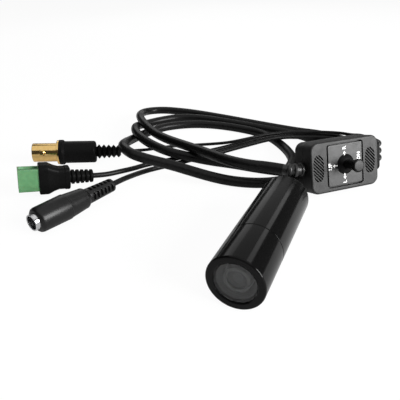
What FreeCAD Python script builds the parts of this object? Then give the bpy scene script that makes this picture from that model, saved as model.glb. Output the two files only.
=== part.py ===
import FreeCAD, Part
import math
import os

V = FreeCAD.Vector
os.makedirs("parts", exist_ok=True)

# Camera tube, stations counted from the front rim
tube_r = 9.6
tube_length = 60.0
front_length = 19.2
neck_length = 7.0
tube_wall = 1.15
neck_wall = 0.9
slide_gap = 0.05
rear_wall = 1.6
rim_round = 0.7
rear_round = 2.0
seam_chamfer = 0.25
seal_width = 1.1
seal_depth = 0.4
seal_station = 2.6
edge_ease = 0.3

# Window and lens
seat_ledge = 0.5
rim_slope = 0.4
recess_depth = 0.6
view_land = 0.3
gasket_thick = 0.3
window_thick = 1.2
ring_thick = 1.6
ring_wall = 1.0
spanner_slot = 1.4
lens_r = 3.5
lens_length = 10.1
lens_start = 2.5
lens_glass_r = 3.2
lens_glass_bulge = 0.7
lens_glass_edge = 0.8
lens_stop_r = 1.5
lens_head_r = 4.3
lens_head = 3.0
lens_rear_r = 2.5
holder_wall = 1.2
holder_neck = 3.6
holder_gap = 0.4
holder_corner_r = 1.0
holder_inner_r = 0.5
holder_height = 3.4

# Boards inside the tube
board_thick = 1.0
sleeve_wall = 0.7
sensor_station = 15.6
sensor_side_gap = 0.3
sensor_top_gap = 0.9
sensor_thick = 0.8
carrier_thick = 1.6
post_r = 1.0
signal_gap = 0.8
post_inset = 1.65
post_count = 4
tube_screw_r = 0.5
tube_screw_head_r = 0.85
tube_screw_head = 0.8
tube_screw_grip = 3.0
socket_wide = 8.0
socket_tall = 4.0
socket_deep = 4.2
socket_wall = 1.0
socket_corner_r = 0.4
socket_inner_r = 0.2
gland_neck_r = 3.2
gland_flange_r = 4.6
gland_flange = 1.0
gland_collar_r = 4.2
gland_collar = 1.4
gland_tip_r = 3.0
gland_taper = 0.4
gland_ease = 0.5
gland_reach = 4.5

# Controller box: a leaning box on its rear bottom edge
box_corner = V(0.2, 53.8, 0)
box_heading = 45.3
box_lean = 17.7
box_wide = 36.1
box_tall = 22.8
box_thick = 12.5
box_corner_r = 3.8
box_edge_r = 0.9
box_wall = 1.5
face_wall = 1.8
lip_wall = 0.6
lip_height = 1.0
plate_wide = 18.45
plate_tall = 18.7
plate_corner_r = 1.0
plate_thick = 1.0
plate_groove = 0.5
stick_x = 17.95
stick_y = 11.65
boss_r = 2.1
boss_inset = 4.3
boss_rise = 6.4
box_screw_r = 1.0
box_screw_head_r = 1.9
box_screw_head = 1.3
box_screw_bite = 3.2
box_screw_sink = 0.3
circuit_wide = 20.0
circuit_tall = 14.0
circuit_lift = 1.5
circuit_corner_r = 0.8
foot_r = 1.5

# Joystick inside the controller
dome_r = 5.75
dome_wall = 0.7
dome_depth = 4.0
dome_gap = 0.3
dome_half_angle = 70.0
knob_r = 2.9
knob_waist_r = 1.95
knob_foot_r = 2.2
knob_rim = 1.0
knob_reach = 8.3
knob_edge_r = 0.4
shaft_r = 0.75
shaft_grip = 4.0
shaft_drop = 3.0
shaft_tip_r = 0.4
shaft_tip = 0.2
press_travel = 0.4
press_gap = 0.05
gimbal_tall = 1.6
block_r = 1.7
gimbal_gap = 0.5
gimbal_wall = 0.9
pivot_r = 0.46
pivot_gap = 0.04
pivot_reach = 1.3
post_gap = 0.4
cradle_wall = 1.0
cradle_wide = 2.4
cradle_side = 11.0
cradle_base = 0.8
cradle_corner_r = 0.6
snap_r = 1.6

# Strain reliefs on the controller
boot_r = 3.05
boot_core_r = 2.45
boot_neck_r = 2.3
boot_ring = 1.5
boot_ring_step = 2.7
boot_ring_start = 0.4
boot_rings = 3
boot_start = 1.5
boot_bend_r = 10.0
boot_turn = 45.0
notch_gap = 0.05
outlet_pad_tall = 13.8
outlet_pad_wide = 6.4
outlet_pad = 4.2
outlet_pad_r = 2.4
outlet_round = 0.9
outlet_lift = 0.9
outlet_rise = 1.5
outlet_step = 3.4
outlet_r = 1.65
outlet_out = 5.5
outlet_tangent = 2.3
outlet_neck_tall = 7.6
outlet_neck_wide = 3.6

# Bayonet video jack
bnc_mouth = V(-132.7, 26.8, 7.15)
bnc_tail = V(-95.3, 51.6, 5.2)
bnc_barrel_r = 4.825
bnc_bore_r = 4.05
bnc_barrel = 12.3
bnc_flange_r = 6.3
bnc_flange = 1.0
bnc_stem_r = 3.9
bnc_stem = 6.0
bnc_bore_depth = 9.5
bnc_lug_r = 1.0
bnc_lug_reach = 0.65
bnc_lug_station = 5.0
bnc_lug_angle = 71.0
bnc_core_r = 2.4
bnc_core_start = 1.8
bnc_foot = 4.0
contact_r = 0.7
contact_start = 2.4
contact_tail = 16.5
contact_bore_r = 0.42
contact_air = 0.4
lug_root = 0.3
bnc_ease = 0.2
bnc_collar = 2.8
bnc_collar_r = 6.5
bnc_body_r = 5.75
bnc_body = 15.9
bnc_collar_slope = 0.8
bnc_body_round = 1.2
bnc_relief_root = 0.6
bnc_relief_gap = 0.3
bnc_relief_r = 3.9
bnc_relief_end_r = 3.3
bnc_relief_core_r = 2.4
bnc_relief_core_end_r = 2.1
bnc_ribs = 5

# Two-pole terminal plug
plug_mouth = V(-112.4, -3.2, 8.9)
plug_tail = V(-90.8, 21.1, 4.7)
plug_roll = 8.0
plug_wide = 7.5
plug_tall = 10.2
plug_show = 8.7
plug_hidden = 2.6
plug_wall = 1.0
plug_cavity = 7.6
plug_slot_wide = 4.6
plug_slot_deep = 0.9
plug_slot_long = 7.8
plug_slot_start = 0.6
plug_corner_r = 0.4
plug_inner_r = 0.3
pin_side = 1.1
pin_pitch = 5.08
pin_start = 2.0
pin_tail = 14.0
hood_tall = 13.9
hood_wide = 9.0
hood_corner_r = 2.2
hood_front = 3.9
hood_waist_tall = 10.1
hood_waist_wide = 7.6
hood_waist_r = 2.0
hood_waist = 4.6
hood_mid_wide = 8.1
hood_mid_tall = 11.6
hood_back = 5.0
plug_relief_r = 3.4
plug_relief_core_r = 2.6
plug_relief_taper = 0.4
plug_ribs = 4

# Power jack
jack_mouth = V(-84.4, -24.6, 5.56)
jack_tail = V(-75.7, 15.4, 5.56)
jack_sleeve_r = 3.4
jack_bore_r = 2.85
jack_sleeve = 13.0
jack_show = 1.8
jack_bore_depth = 9.0
jack_pin_r = 1.05
jack_pin_start = 2.2
jack_pin_tail = 15.0
jack_body_r = 5.2
jack_body_end_r = 5.5
jack_body = 14.2
jack_round = 1.5
jack_step_r = 5.3
jack_second = 8.4
jack_second_end_r = 4.5
jack_shoulder = 3.2
jack_relief_r = 3.45
jack_relief_end_r = 3.05
jack_relief_core = 0.6
jack_ribs = 5
jack_ease = 0.15
jack_pin_round = 0.5
jack_step = 0.3
jack_shoulder_r = 1.0

# Cords, centre lines point by point
camera_cable_d = 4.4
video_cable_d = 1.7
data_cable_d = 2.3
power_cable_d = 2.0
bend_share = 0.45
rib_valley = 0.3
rib_peak = 0.5

camera_cable_points = [
    (0, 34.5, 9.6), (0, 40.5, 9.1), (-2.9, 49.1, 7), (-6.3, 57.7, 7.8), (-7, 67.7, 8),
    (-8.8, 76.9, 6.3), (-12.8, 90.1, 3.8), (-19.2, 101.9, 2.3), (-28.1, 112.9, 2.2),
    (-38.1, 119.9, 2.2), (-50.7, 122.8, 2.2), (-65.8, 123.3, 2.2), (-79.8, 120.3, 2.2),
    (-91.1, 112.9, 2.2), (-99.6, 101.6, 2.2), (-103.2, 85.7, 2.2), (-102.4, 70, 3.6), (-91.1, 49.3, 11),
    (-86, 40.3, 13.2), (-77.5, 34.8, 13), (-69.1, 36.5, 11), (-59.2, 40.7, 8.4), (-49.1, 43.5, 5.8),
    (-39, 46.1, 3.6), (-29.5, 48.1, 2.4), (-18.7, 50.8, 2.2), (-9.7, 56.1, 2.2), (-3.3, 62.3, 3.1),
    (2, 69.7, 7.8), (6, 81.5, 7.3), (6.4, 92, 4.6), (3.8, 102.5, 2.4), (-2, 115.3, 2.2),
    (-11.1, 124.5, 2.2), (-21.6, 126.5, 2.2), (-34, 128, 2.2), (-49.6, 129.6, 2.2), (-66.4, 130.7, 2.2),
    (-84.6, 130.3, 2.2), (-98.3, 125, 2.2), (-106.5, 114, 2.2), (-111, 106.6, 2.2), (-113.7, 97.1, 2.9),
    (-105.2, 81, 7.5), (-99.3, 73.2, 8.1), (-91.3, 66.6, 7.7), (-82.1, 62.6, 6.7), (-70.8, 59.3, 5.9),
    (-59.3, 60, 4.9), (-48, 63.8, 2.8), (-36.8, 67.3, 2.2), (-23.8, 68.1, 2.2), (-11.4, 69.4, 2.2),
    (0.6, 71.8, 2.2), (10, 80.6, 2.2), (16.4, 90.1, 2.2), (18.8, 101.6, 2.2), (16.2, 113.6, 2.2),
    (8.1, 127.7, 2.2), (-3.4, 132.3, 2.2), (-17.4, 131.6, 2.2), (-34, 133.4, 2.2), (-51.7, 135.2, 2.2),
    (-68.4, 136.7, 2.2), (-82.4, 138.2, 2.2), (-95.1, 138.9, 2.2), (-106.1, 139.5, 2.2),
    (-116.3, 138.3, 2.2), (-123.8, 133.8, 2.2), (-126.1, 125.4, 3), (-121.4, 112.6, 5),
    (-113.1, 98.7, 7.7), (-106.3, 91.3, 8), (-96.8, 84.6, 7.4), (-87.1, 78.5, 7.2), (-75.4, 72.9, 7),
    (-61.9, 67, 7.4), (-47.9, 59.6, 9), (-34.3, 52.5, 10.6), (-21, 47.8, 12.5), (-12.9, 48, 12.8),
    (-6.14, 48.02, 12.76),
]
video_cable_points = [
    (-95.3, 51.6, 5.2), (-91.7, 54, 5), (-88.7, 58.9, 4.1), (-87.5, 65.6, 2.2), (-85.1, 72.6, 1),
    (-79, 79.3, 0.85), (-68.7, 83.7, 1.6), (-57, 85.7, 3.4), (-46.3, 87.6, 5.4), (-37.1, 93.8, 7.2),
    (-28.5, 101.2, 8.5), (-19.4, 107.9, 8.9), (-9.4, 112.4, 9.2), (0.2, 116.1, 9.6), (9.5, 116.8, 10.3),
    (16.3, 113.1, 11.6), (20.6, 105.5, 14), (24.3, 97.2, 16.2), (27.4, 88.7, 17.9),
]
data_cable_points = [
    (-90.8, 21.1, 4.7), (-86.8, 25.6, 3.9), (-82.9, 33.1, 3.4), (-80.9, 41.2, 2.2), (-78.2, 50.3, 1.3),
    (-71.3, 58.9, 1.2), (-63.4, 69.5, 1.2), (-55.5, 80.2, 1.2), (-46.8, 88.6, 2.6), (-37.8, 95.9, 4.8),
    (-29, 103.2, 6.4), (-20.1, 110.1, 6.7), (-11.2, 115, 6.9), (-1.1, 118.2, 7.3), (8.3, 119.1, 8),
    (15.8, 110.6, 9.4), (20.3, 103.3, 11.6), (24.5, 95.7, 13.5), (28.2, 88, 14.8),
]
power_cable_points = [
    (-75.7, 15.4, 5.56), (-74.5, 21.4, 5.6), (-74.6, 31.7, 3.6), (-74.7, 39.4, 2), (-72.7, 47.3, 1.1),
    (-66.5, 55.4, 1.1), (-59.4, 66, 1.1), (-51.8, 76.6, 1.1), (-44, 85.4, 2.4), (-35.5, 93, 4.4),
    (-27, 100.2, 6), (-19.2, 106.8, 6.3), (-10.8, 112.6, 6.2), (-1.7, 115.4, 6.2), (7.8, 115.6, 6.4),
    (15.6, 107.6, 7.3), (20.5, 101.3, 8.9), (24.8, 94.5, 10.4), (28.9, 87.3, 11.6),
]


def seat(origin, along, up):
    # placement whose local Z runs along and whose local Y leans to up
    z_axis = V(along).normalize()
    x_axis = V(up).cross(z_axis).normalize()
    y_axis = z_axis.cross(x_axis)
    return FreeCAD.Placement(origin, FreeCAD.Rotation(x_axis, y_axis, z_axis, "ZXY"))


def trace(corners, closed):
    # straight runs with a tangent arc of the given radius at each corner
    cuts = []
    for i, (point, radius) in enumerate(corners):
        ends = not closed and i in (0, len(corners) - 1)
        if radius == 0 or ends:
            cuts.append((point, None, point))
            continue
        back = V(corners[i - 1][0] - point).normalize()
        ahead = V(corners[(i + 1) % len(corners)][0] - point).normalize()
        half_turn = (math.pi - back.getAngle(ahead)) / 2
        reach = radius * math.tan(half_turn)
        inward = V(back + ahead).normalize()
        middle = point + inward * (radius / math.cos(half_turn) - radius)
        cuts.append((point + back * reach, middle, point + ahead * reach))
    edges = []
    for i, (first, middle, last) in enumerate(cuts):
        if middle is not None:
            edges.append(Part.Arc(first, middle, last).toShape())
        if i == len(cuts) - 1 and not closed:
            break
        following = cuts[(i + 1) % len(cuts)][0]
        if last.distanceToPoint(following) > 1e-6:
            edges.append(Part.LineSegment(last, following).toShape())
    return Part.Wire(edges)


def turned(profile):
    # profile of (radius, station, corner radius) turned about the local Z axis
    corners = [(V(p[0], 0, p[1]), p[2] if len(p) > 2 else 0) for p in profile]
    return Part.Face(trace(corners, True)).revolve(V(0, 0, 0), V(0, 0, 1), 360)


def pillow(x, y, wide, tall, corner_r):
    # rounded rectangle in the local XY plane, centred on x, y
    dx = wide / 2
    dy = tall / 2
    spots = [(-dx, -dy), (dx, -dy), (dx, dy), (-dx, dy)]
    return trace([(V(x + a, y + b, 0), corner_r) for a, b in spots], True)


def slab(wire, low, high):
    # flat outline carried from one station to another
    face = Part.Face(wire)
    face.translate(V(0, 0, low))
    return face.extrude(V(0, 0, high - low))


def rod(x, y, radius, low, high):
    return Part.makeCylinder(radius, high - low, V(x, y, low))


def ribbed(start, stop, count, top, top_end, core, core_end, sharp):
    # saw-tooth or rounded-square rib profile, tapering from start to stop
    pitch = (stop - start) / count
    points = []
    for i in range(count):
        share = i / count
        crest = top + (top_end - top) * share
        valley = core + (core_end - core) * share
        near = start + i * pitch
        if sharp:
            points += [(valley, near), (crest, near + pitch * rib_peak)]
        else:
            points += [(valley, near), (valley, near + pitch * rib_valley)]
            points += [(crest, near + pitch * rib_valley), (crest, near + pitch)]
    if sharp:
        points.append((core_end, stop))
    return points


def tube(points, diameter):
    # cord of straight runs and tangent arcs, with its smallest bend printed
    path = [V(*p) for p in points]
    corners = [(path[0], 0)]
    bends = []
    for i in range(1, len(path) - 1):
        back = path[i - 1] - path[i]
        ahead = path[i + 1] - path[i]
        half_turn = (math.pi - back.getAngle(ahead)) / 2
        radius = bend_share * min(back.Length, ahead.Length) / math.tan(half_turn)
        corners.append((path[i], radius))
        bends.append(radius)
    corners.append((path[-1], 0))
    spine = trace(corners, False)
    ring = Part.Wire(Part.makeCircle(diameter / 2, path[0], path[1] - path[0]))
    solid = spine.makePipeShell([ring], True, False)
    expected = math.pi * diameter * diameter / 4 * spine.Length
    print("cord bends from %.1f mm, length %.0f, volume share %.4f"
          % (min(bends), spine.Length, solid.Volume / expected))
    return solid


def keep(name, shape, placement=None):
    solids = shape if isinstance(shape, list) else [shape]
    if placement is not None:
        for solid in solids:
            solid.Placement = placement.multiply(solid.Placement)
    result = solids[0] if len(solids) == 1 else Part.makeCompound(solids)
    if len(result.Solids) != len(solids) or not result.isValid():
        print("CHECK", name, len(result.Solids), result.isValid())
    result.exportStep("parts/" + name + ".step")


def spread(shape, count, first_angle=0.0):
    # copies of one solid round the local Z axis
    copies = []
    for i in range(count):
        copy = shape.copy()
        copy.rotate(V(0, 0, 0), V(0, 0, 1), first_angle + 360.0 * i / count)
        copies.append(copy)
    return copies


# Camera tube
tube_seat = seat(V(0, -tube_length / 2, tube_r), V(0, 1, 0), V(0, 0, 1))
rear_bore_r = tube_r - tube_wall
neck_r = rear_bore_r - slide_gap
front_bore_r = neck_r - neck_wall
view_r = front_bore_r - seat_ledge
rim_open_r = view_r + rim_slope
neck_end = front_length + neck_length
seal_low = front_length + seal_station
seal_high = seal_low + seal_width
front_barrel = turned([
    (rim_open_r, 0, edge_ease), (tube_r, 0, rim_round), (tube_r, front_length - seam_chamfer),
    (tube_r - seam_chamfer, front_length), (neck_r, front_length), (neck_r, seal_low),
    (neck_r - seal_depth, seal_low), (neck_r - seal_depth, seal_high), (neck_r, seal_high),
    (neck_r, neck_end), (front_bore_r, neck_end), (front_bore_r, recess_depth),
    (view_r, recess_depth), (view_r, recess_depth - view_land),
])
keep("front_barrel", front_barrel, tube_seat)
rear_inside = tube_length - rear_wall
rear_barrel = turned([
    (tube_r - seam_chamfer, front_length), (tube_r, front_length + seam_chamfer),
    (tube_r, tube_length, rear_round),
    (gland_neck_r + slide_gap, tube_length), (gland_neck_r + slide_gap, rear_inside),
    (rear_bore_r, rear_inside), (rear_bore_r, front_length),
])
keep("rear_barrel", rear_barrel, tube_seat)
barrel_seal = turned([
    (neck_r - seal_depth, seal_low + slide_gap), (rear_bore_r, seal_low + slide_gap),
    (rear_bore_r, seal_high - slide_gap), (neck_r - seal_depth, seal_high - slide_gap),
])
keep("barrel_seal", barrel_seal, tube_seat)

# Window stack
window_r = front_bore_r - slide_gap
ring_open_r = window_r - ring_wall
sleeve_open_r = window_r - sleeve_wall
window_low = recess_depth + gasket_thick
window_high = window_low + window_thick
ring_high = window_high + ring_thick
window_gasket = turned([
    (view_r, recess_depth), (window_r, recess_depth), (window_r, window_low), (view_r, window_low),
])
keep("window_gasket", window_gasket, tube_seat)
window_glass = turned([(0, window_low), (window_r, window_low), (window_r, window_high), (0, window_high)])
keep("window_glass", window_glass, tube_seat)
window_ring = turned([
    (ring_open_r, window_high), (window_r, window_high), (window_r, ring_high), (ring_open_r, ring_high),
])
slot_bar = Part.makeBox(2 * tube_r, spanner_slot, ring_thick / 2)
slot_bar.translate(V(-tube_r, -spanner_slot / 2, ring_high - ring_thick / 2))
keep("window_ring", window_ring.cut(slot_bar), tube_seat)
baffle_sleeve = turned([
    (sleeve_open_r, ring_high), (window_r, ring_high),
    (window_r, sensor_station), (sleeve_open_r, sensor_station),
])
keep("baffle_sleeve", baffle_sleeve, tube_seat)

# Lens, holder and sensor
lens_end = lens_start + lens_length
glass_low = lens_start + lens_glass_bulge
glass_high = glass_low + lens_glass_edge
rear_glass_low = lens_end - lens_glass_edge
head_end = lens_start + lens_head
front_seat_r = lens_glass_r + slide_gap
rear_seat_r = lens_rear_r + slide_gap
lens_barrel = turned([
    (front_seat_r, lens_start), (lens_head_r, lens_start, edge_ease), (lens_head_r, head_end),
    (lens_r, head_end), (lens_r, lens_end), (rear_seat_r, lens_end), (rear_seat_r, rear_glass_low),
    (lens_stop_r, rear_glass_low), (lens_stop_r, glass_high), (front_seat_r, glass_high),
])
keep("lens_barrel", lens_barrel, tube_seat)
cap_r = (lens_glass_r ** 2 + lens_glass_bulge ** 2) / (2 * lens_glass_bulge)
front_ball = Part.makeSphere(cap_r, V(0, 0, lens_start + cap_r))
lens_front = rod(0, 0, lens_glass_r, lens_start, glass_high).common(front_ball)
keep("lens_front", lens_front, tube_seat)
keep("lens_rear", rod(0, 0, lens_rear_r, rear_glass_low, lens_end), tube_seat)
holder_low = sensor_station - holder_height
holder_bore_r = lens_r + slide_gap
holder_reach = (sleeve_open_r - holder_gap - holder_corner_r) / math.sqrt(2) + holder_corner_r
holder_side = 2 * holder_reach
holder_open = holder_side - 2 * holder_wall
holder_block = slab(pillow(0, 0, holder_side, holder_side, holder_corner_r), holder_low, sensor_station)
holder_floor = holder_low + holder_wall
holder_hollow = slab(pillow(0, 0, holder_open, holder_open, holder_inner_r), holder_floor, sensor_station)
holder_collar = rod(0, 0, holder_bore_r + holder_wall, holder_low - holder_neck, holder_low)
holder_bore = rod(0, 0, holder_bore_r, holder_low - holder_neck, sensor_station)
lens_holder = holder_block.fuse(holder_collar).cut(holder_hollow).cut(holder_bore)
keep("lens_holder", lens_holder.removeSplitter(), tube_seat)
sensor_wide = holder_open - 2 * sensor_side_gap
sensor_tall = holder_open - 2 * sensor_top_gap
sensor_face = pillow(0, 0, sensor_wide, sensor_tall, edge_ease)
image_sensor = slab(sensor_face, sensor_station - sensor_thick, sensor_station)
keep("image_sensor", image_sensor, tube_seat)

# Boards on four posts
sensor_back = sensor_station + board_thick
post_length = neck_end + signal_gap - sensor_back
post_end = sensor_back + post_length
signal_back = post_end + board_thick
screw_hole_r = tube_screw_r + slide_gap
post_circle_r = front_bore_r - post_inset
post_holes = spread(rod(post_circle_r, 0, screw_hole_r, sensor_station, signal_back), post_count)
sensor_board = rod(0, 0, window_r, sensor_station, sensor_back)
signal_board = rod(0, 0, rear_bore_r - slide_gap, post_end, signal_back)
for hole in post_holes:
    sensor_board = sensor_board.cut(hole)
    signal_board = signal_board.cut(hole)
keep("sensor_board", sensor_board, tube_seat)
keep("signal_board", signal_board, tube_seat)
carrier_open_r = post_circle_r + post_r + slide_gap
carrier_back = sensor_back + carrier_thick
carrier_ring = turned([
    (carrier_open_r, sensor_back), (window_r, sensor_back),
    (window_r, carrier_back), (carrier_open_r, carrier_back),
])
keep("carrier_ring", carrier_ring, tube_seat)
post = rod(post_circle_r, 0, post_r, sensor_back, post_end).cut(
    rod(post_circle_r, 0, screw_hole_r, sensor_back, post_end))
keep("board_posts", spread(post, post_count), tube_seat)
front_screw = rod(post_circle_r, 0, tube_screw_head_r, sensor_station - tube_screw_head, sensor_station).fuse(
    rod(post_circle_r, 0, tube_screw_r, sensor_station, sensor_back + tube_screw_grip))
rear_screw = rod(post_circle_r, 0, tube_screw_head_r, signal_back, signal_back + tube_screw_head).fuse(
    rod(post_circle_r, 0, tube_screw_r, post_end - tube_screw_grip, signal_back))
keep("board_screws", spread(front_screw, post_count) + spread(rear_screw, post_count), tube_seat)
socket_outline = pillow(0, 0, socket_wide, socket_tall, socket_corner_r)
wire_socket = slab(socket_outline, signal_back, signal_back + socket_deep)
pocket_outline = pillow(0, 0, socket_wide - 2 * socket_wall, socket_tall - 2 * socket_wall, socket_inner_r)
socket_pocket = slab(pocket_outline, signal_back + socket_wall, signal_back + socket_deep)
keep("wire_socket", wire_socket.cut(socket_pocket), tube_seat)

# Cable gland in the rear wall
gland_start = rear_inside - gland_flange
collar_face = tube_length + gland_collar
gland_end = tube_length + gland_reach
cable_gland = turned([
    (0, gland_start), (gland_flange_r, gland_start), (gland_flange_r, rear_inside),
    (gland_neck_r, rear_inside), (gland_neck_r, tube_length), (gland_collar_r, tube_length),
    (gland_collar_r, collar_face, edge_ease), (gland_tip_r + gland_taper, collar_face),
    (gland_tip_r, gland_end, gland_ease), (0, gland_end),
])
keep("cable_gland", cable_gland, tube_seat)

# Controller shells in the box's own frame: X across, Y up the front, Z out of the front
heading = math.radians(box_heading)
lean = math.radians(box_lean)
box_across = V(math.cos(heading), math.sin(heading), 0)
box_level = V(math.sin(heading), -math.cos(heading), 0)
box_front = V(box_level * math.cos(lean) + V(0, 0, 1) * math.sin(lean))
box_up = box_front.cross(box_across)
box_seat = seat(box_corner, box_front, box_up)
mid_x = box_wide / 2
mid_y = box_tall / 2
split = box_thick / 2
pad_y = mid_y + outlet_lift
outer_face = pillow(mid_x, mid_y, box_wide, box_tall, box_corner_r)
inner_face = pillow(mid_x, mid_y, box_wide - 2 * box_wall, box_tall - 2 * box_wall, box_corner_r - box_wall)
lip_inset = box_wall + slide_gap
lip_face = pillow(mid_x, mid_y, box_wide - 2 * lip_inset, box_tall - 2 * lip_inset, box_corner_r - lip_inset)
lip_hole_inset = lip_inset + lip_wall
lip_hole_face = pillow(mid_x, mid_y, box_wide - 2 * lip_hole_inset, box_tall - 2 * lip_hole_inset,
                       box_corner_r - lip_hole_inset)
face_inside = box_thick - face_wall
pivot_z = box_thick - dome_depth
plate_low = box_thick - plate_thick
boss_spots = [(boss_inset, mid_y + boss_rise), (box_wide - boss_inset, mid_y - boss_rise)]


def ball_r(station):
    # radius of the dome where a plane at the station cuts it
    return math.sqrt(dome_r ** 2 - (station - pivot_z) ** 2)


stick_hole = Part.makeCone(ball_r(face_inside) + dome_gap, ball_r(box_thick) + dome_gap, face_wall,
                           V(stick_x, stick_y, face_inside))


def end_edges(solid, station):
    # the edges that lie flat at one station
    flat = []
    for edge in solid.Edges:
        if abs(edge.BoundBox.ZMin - station) < 1e-6 and abs(edge.BoundBox.ZMax - station) < 1e-6:
            flat.append(edge)
    return flat


end_depth = box_wall + 2 * lip_wall
right_slot = slab(pillow(0, 0, outlet_neck_tall + 2 * notch_gap, outlet_neck_wide + 2 * notch_gap,
                         outlet_neck_wide / 2), 0, end_depth)
right_slot.Placement = seat(V(box_wide - end_depth, pad_y, split), V(1, 0, 0), V(0, 0, 1))
left_notch = Part.makeCylinder(boot_neck_r + notch_gap, end_depth, V(0, mid_y, split), V(1, 0, 0))

front_shell = slab(outer_face, split, box_thick)
front_shell = front_shell.makeFillet(box_edge_r, end_edges(front_shell, box_thick))
front_shell = front_shell.cut(slab(inner_face, split, face_inside))
pocket_face = pillow(stick_x, stick_y, plate_wide + 2 * plate_groove, plate_tall + 2 * plate_groove,
                     plate_corner_r + plate_groove)
front_shell = front_shell.cut(slab(pocket_face, plate_low, box_thick)).cut(stick_hole)
for x, y in boss_spots:
    front_shell = front_shell.fuse(rod(x, y, boss_r, split, face_inside))
    front_shell = front_shell.cut(rod(x, y, box_screw_r, split, split + box_screw_bite))
front_shell = front_shell.cut(left_notch).cut(right_slot).removeSplitter()
keep("controller_front", front_shell, box_seat)

rear_shell = slab(outer_face, 0, split)
rear_shell = rear_shell.makeFillet(box_edge_r, end_edges(rear_shell, 0))
rear_shell = rear_shell.cut(slab(inner_face, box_wall, split))
lip_low = split - 2 * lip_height
lip = slab(lip_face, lip_low, split + lip_height).cut(slab(lip_hole_face, lip_low, split + lip_height))
lip_ledge = slab(inner_face, lip_low, split).cut(slab(lip_hole_face, lip_low, split))
rear_shell = rear_shell.fuse(lip).fuse(lip_ledge)
head_seat = box_screw_sink + box_screw_head
for x, y in boss_spots:
    rear_shell = rear_shell.fuse(rod(x, y, boss_r + box_wall / 2, box_wall, split))
    rear_shell = rear_shell.cut(rod(x, y, box_screw_head_r + slide_gap, 0, head_seat))
    rear_shell = rear_shell.cut(rod(x, y, box_screw_r + slide_gap, head_seat, split))
circuit_low = box_wall + circuit_lift
circuit_high = circuit_low + board_thick
foot_dx = circuit_wide / 2 - foot_r
foot_dy = circuit_tall / 2 - foot_r
for sx in (-1, 1):
    for sy in (-1, 1):
        foot = rod(stick_x + sx * foot_dx, stick_y + sy * foot_dy, foot_r, box_wall, circuit_low)
        rear_shell = rear_shell.fuse(foot)
rear_shell = rear_shell.cut(left_notch).cut(right_slot).removeSplitter()
keep("controller_rear", rear_shell, box_seat)

plate = slab(pillow(stick_x, stick_y, plate_wide, plate_tall, plate_corner_r), plate_low, box_thick)
keep("controller_plate", plate.cut(stick_hole), box_seat)
circuit_face = pillow(stick_x, stick_y, circuit_wide, circuit_tall, circuit_corner_r)
circuit = slab(circuit_face, circuit_low, circuit_high)
keep("controller_board", circuit, box_seat)
box_screws = []
for x, y in boss_spots:
    head = rod(x, y, box_screw_head_r, box_screw_sink, head_seat)
    shank = rod(x, y, box_screw_r, head_seat, split + box_screw_bite)
    box_screws.append(head.fuse(shank))
keep("controller_screws", box_screws, box_seat)

# Joystick: a ring tilts in the cradle, a block tilts in the ring, the shaft slides in the block
gimbal_r = block_r + gimbal_gap
gimbal_outer_r = gimbal_r + gimbal_wall
cradle_inner = gimbal_outer_r + post_gap
gimbal_low = pivot_z - gimbal_tall / 2
gimbal_high = pivot_z + gimbal_tall / 2
pivot_at = V(stick_x, stick_y, pivot_z)
cradle_top = circuit_high + cradle_base


def cross_pin(radius, first, last, along):
    return Part.makeCylinder(radius, last - first, pivot_at + along * first, along)


cradle = slab(pillow(stick_x, stick_y, cradle_side, cradle_side, cradle_corner_r), circuit_high, cradle_top)
for side in (-1, 1):
    post_low_x = cradle_inner if side > 0 else -cradle_inner - cradle_wall
    cradle_post = Part.makeBox(cradle_wall, cradle_wide, gimbal_high - cradle_top)
    cradle_post.translate(V(stick_x + post_low_x, stick_y - cradle_wide / 2, cradle_top))
    cradle = cradle.fuse(cradle_post)
pivot_hole = cross_pin(pivot_r + pivot_gap, -cradle_side / 2, cradle_side / 2, V(1, 0, 0))
keep("stick_cradle", cradle.cut(pivot_hole).removeSplitter(), box_seat)

ring = rod(stick_x, stick_y, gimbal_outer_r, gimbal_low, gimbal_high)
ring = ring.cut(rod(stick_x, stick_y, gimbal_r, gimbal_low, gimbal_high))
ring = ring.cut(cross_pin(pivot_r + pivot_gap, -cradle_side / 2, cradle_side / 2, V(0, 1, 0)))
ring_tip = cradle_inner + cradle_wall
for side in (V(1, 0, 0), V(-1, 0, 0)):
    ring = ring.fuse(cross_pin(pivot_r, gimbal_outer_r - gimbal_wall / 2, ring_tip, side))
keep("stick_ring", ring.removeSplitter(), box_seat)

block = rod(stick_x, stick_y, block_r, gimbal_low, gimbal_high)
for side in (V(0, 1, 0), V(0, -1, 0)):
    block = block.fuse(cross_pin(pivot_r, block_r / 2, block_r + pivot_reach, side))
block = block.cut(rod(stick_x, stick_y, shaft_r + slide_gap, gimbal_low, gimbal_high))
keep("stick_block", block.removeSplitter(), box_seat)

shaft_top = dome_r + shaft_grip
shaft = turned([
    (0, -shaft_drop), (shaft_tip_r, -shaft_drop), (shaft_r, shaft_tip - shaft_drop),
    (shaft_r, shaft_top), (0, shaft_top),
])
shaft.translate(pivot_at)
keep("stick_shaft", shaft, box_seat)

angle = math.radians(dome_half_angle)
dome_in = dome_r - dome_wall


def ball_spot(radius, at_angle):
    return V(radius * math.sin(at_angle), 0, radius * math.cos(at_angle))


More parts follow.
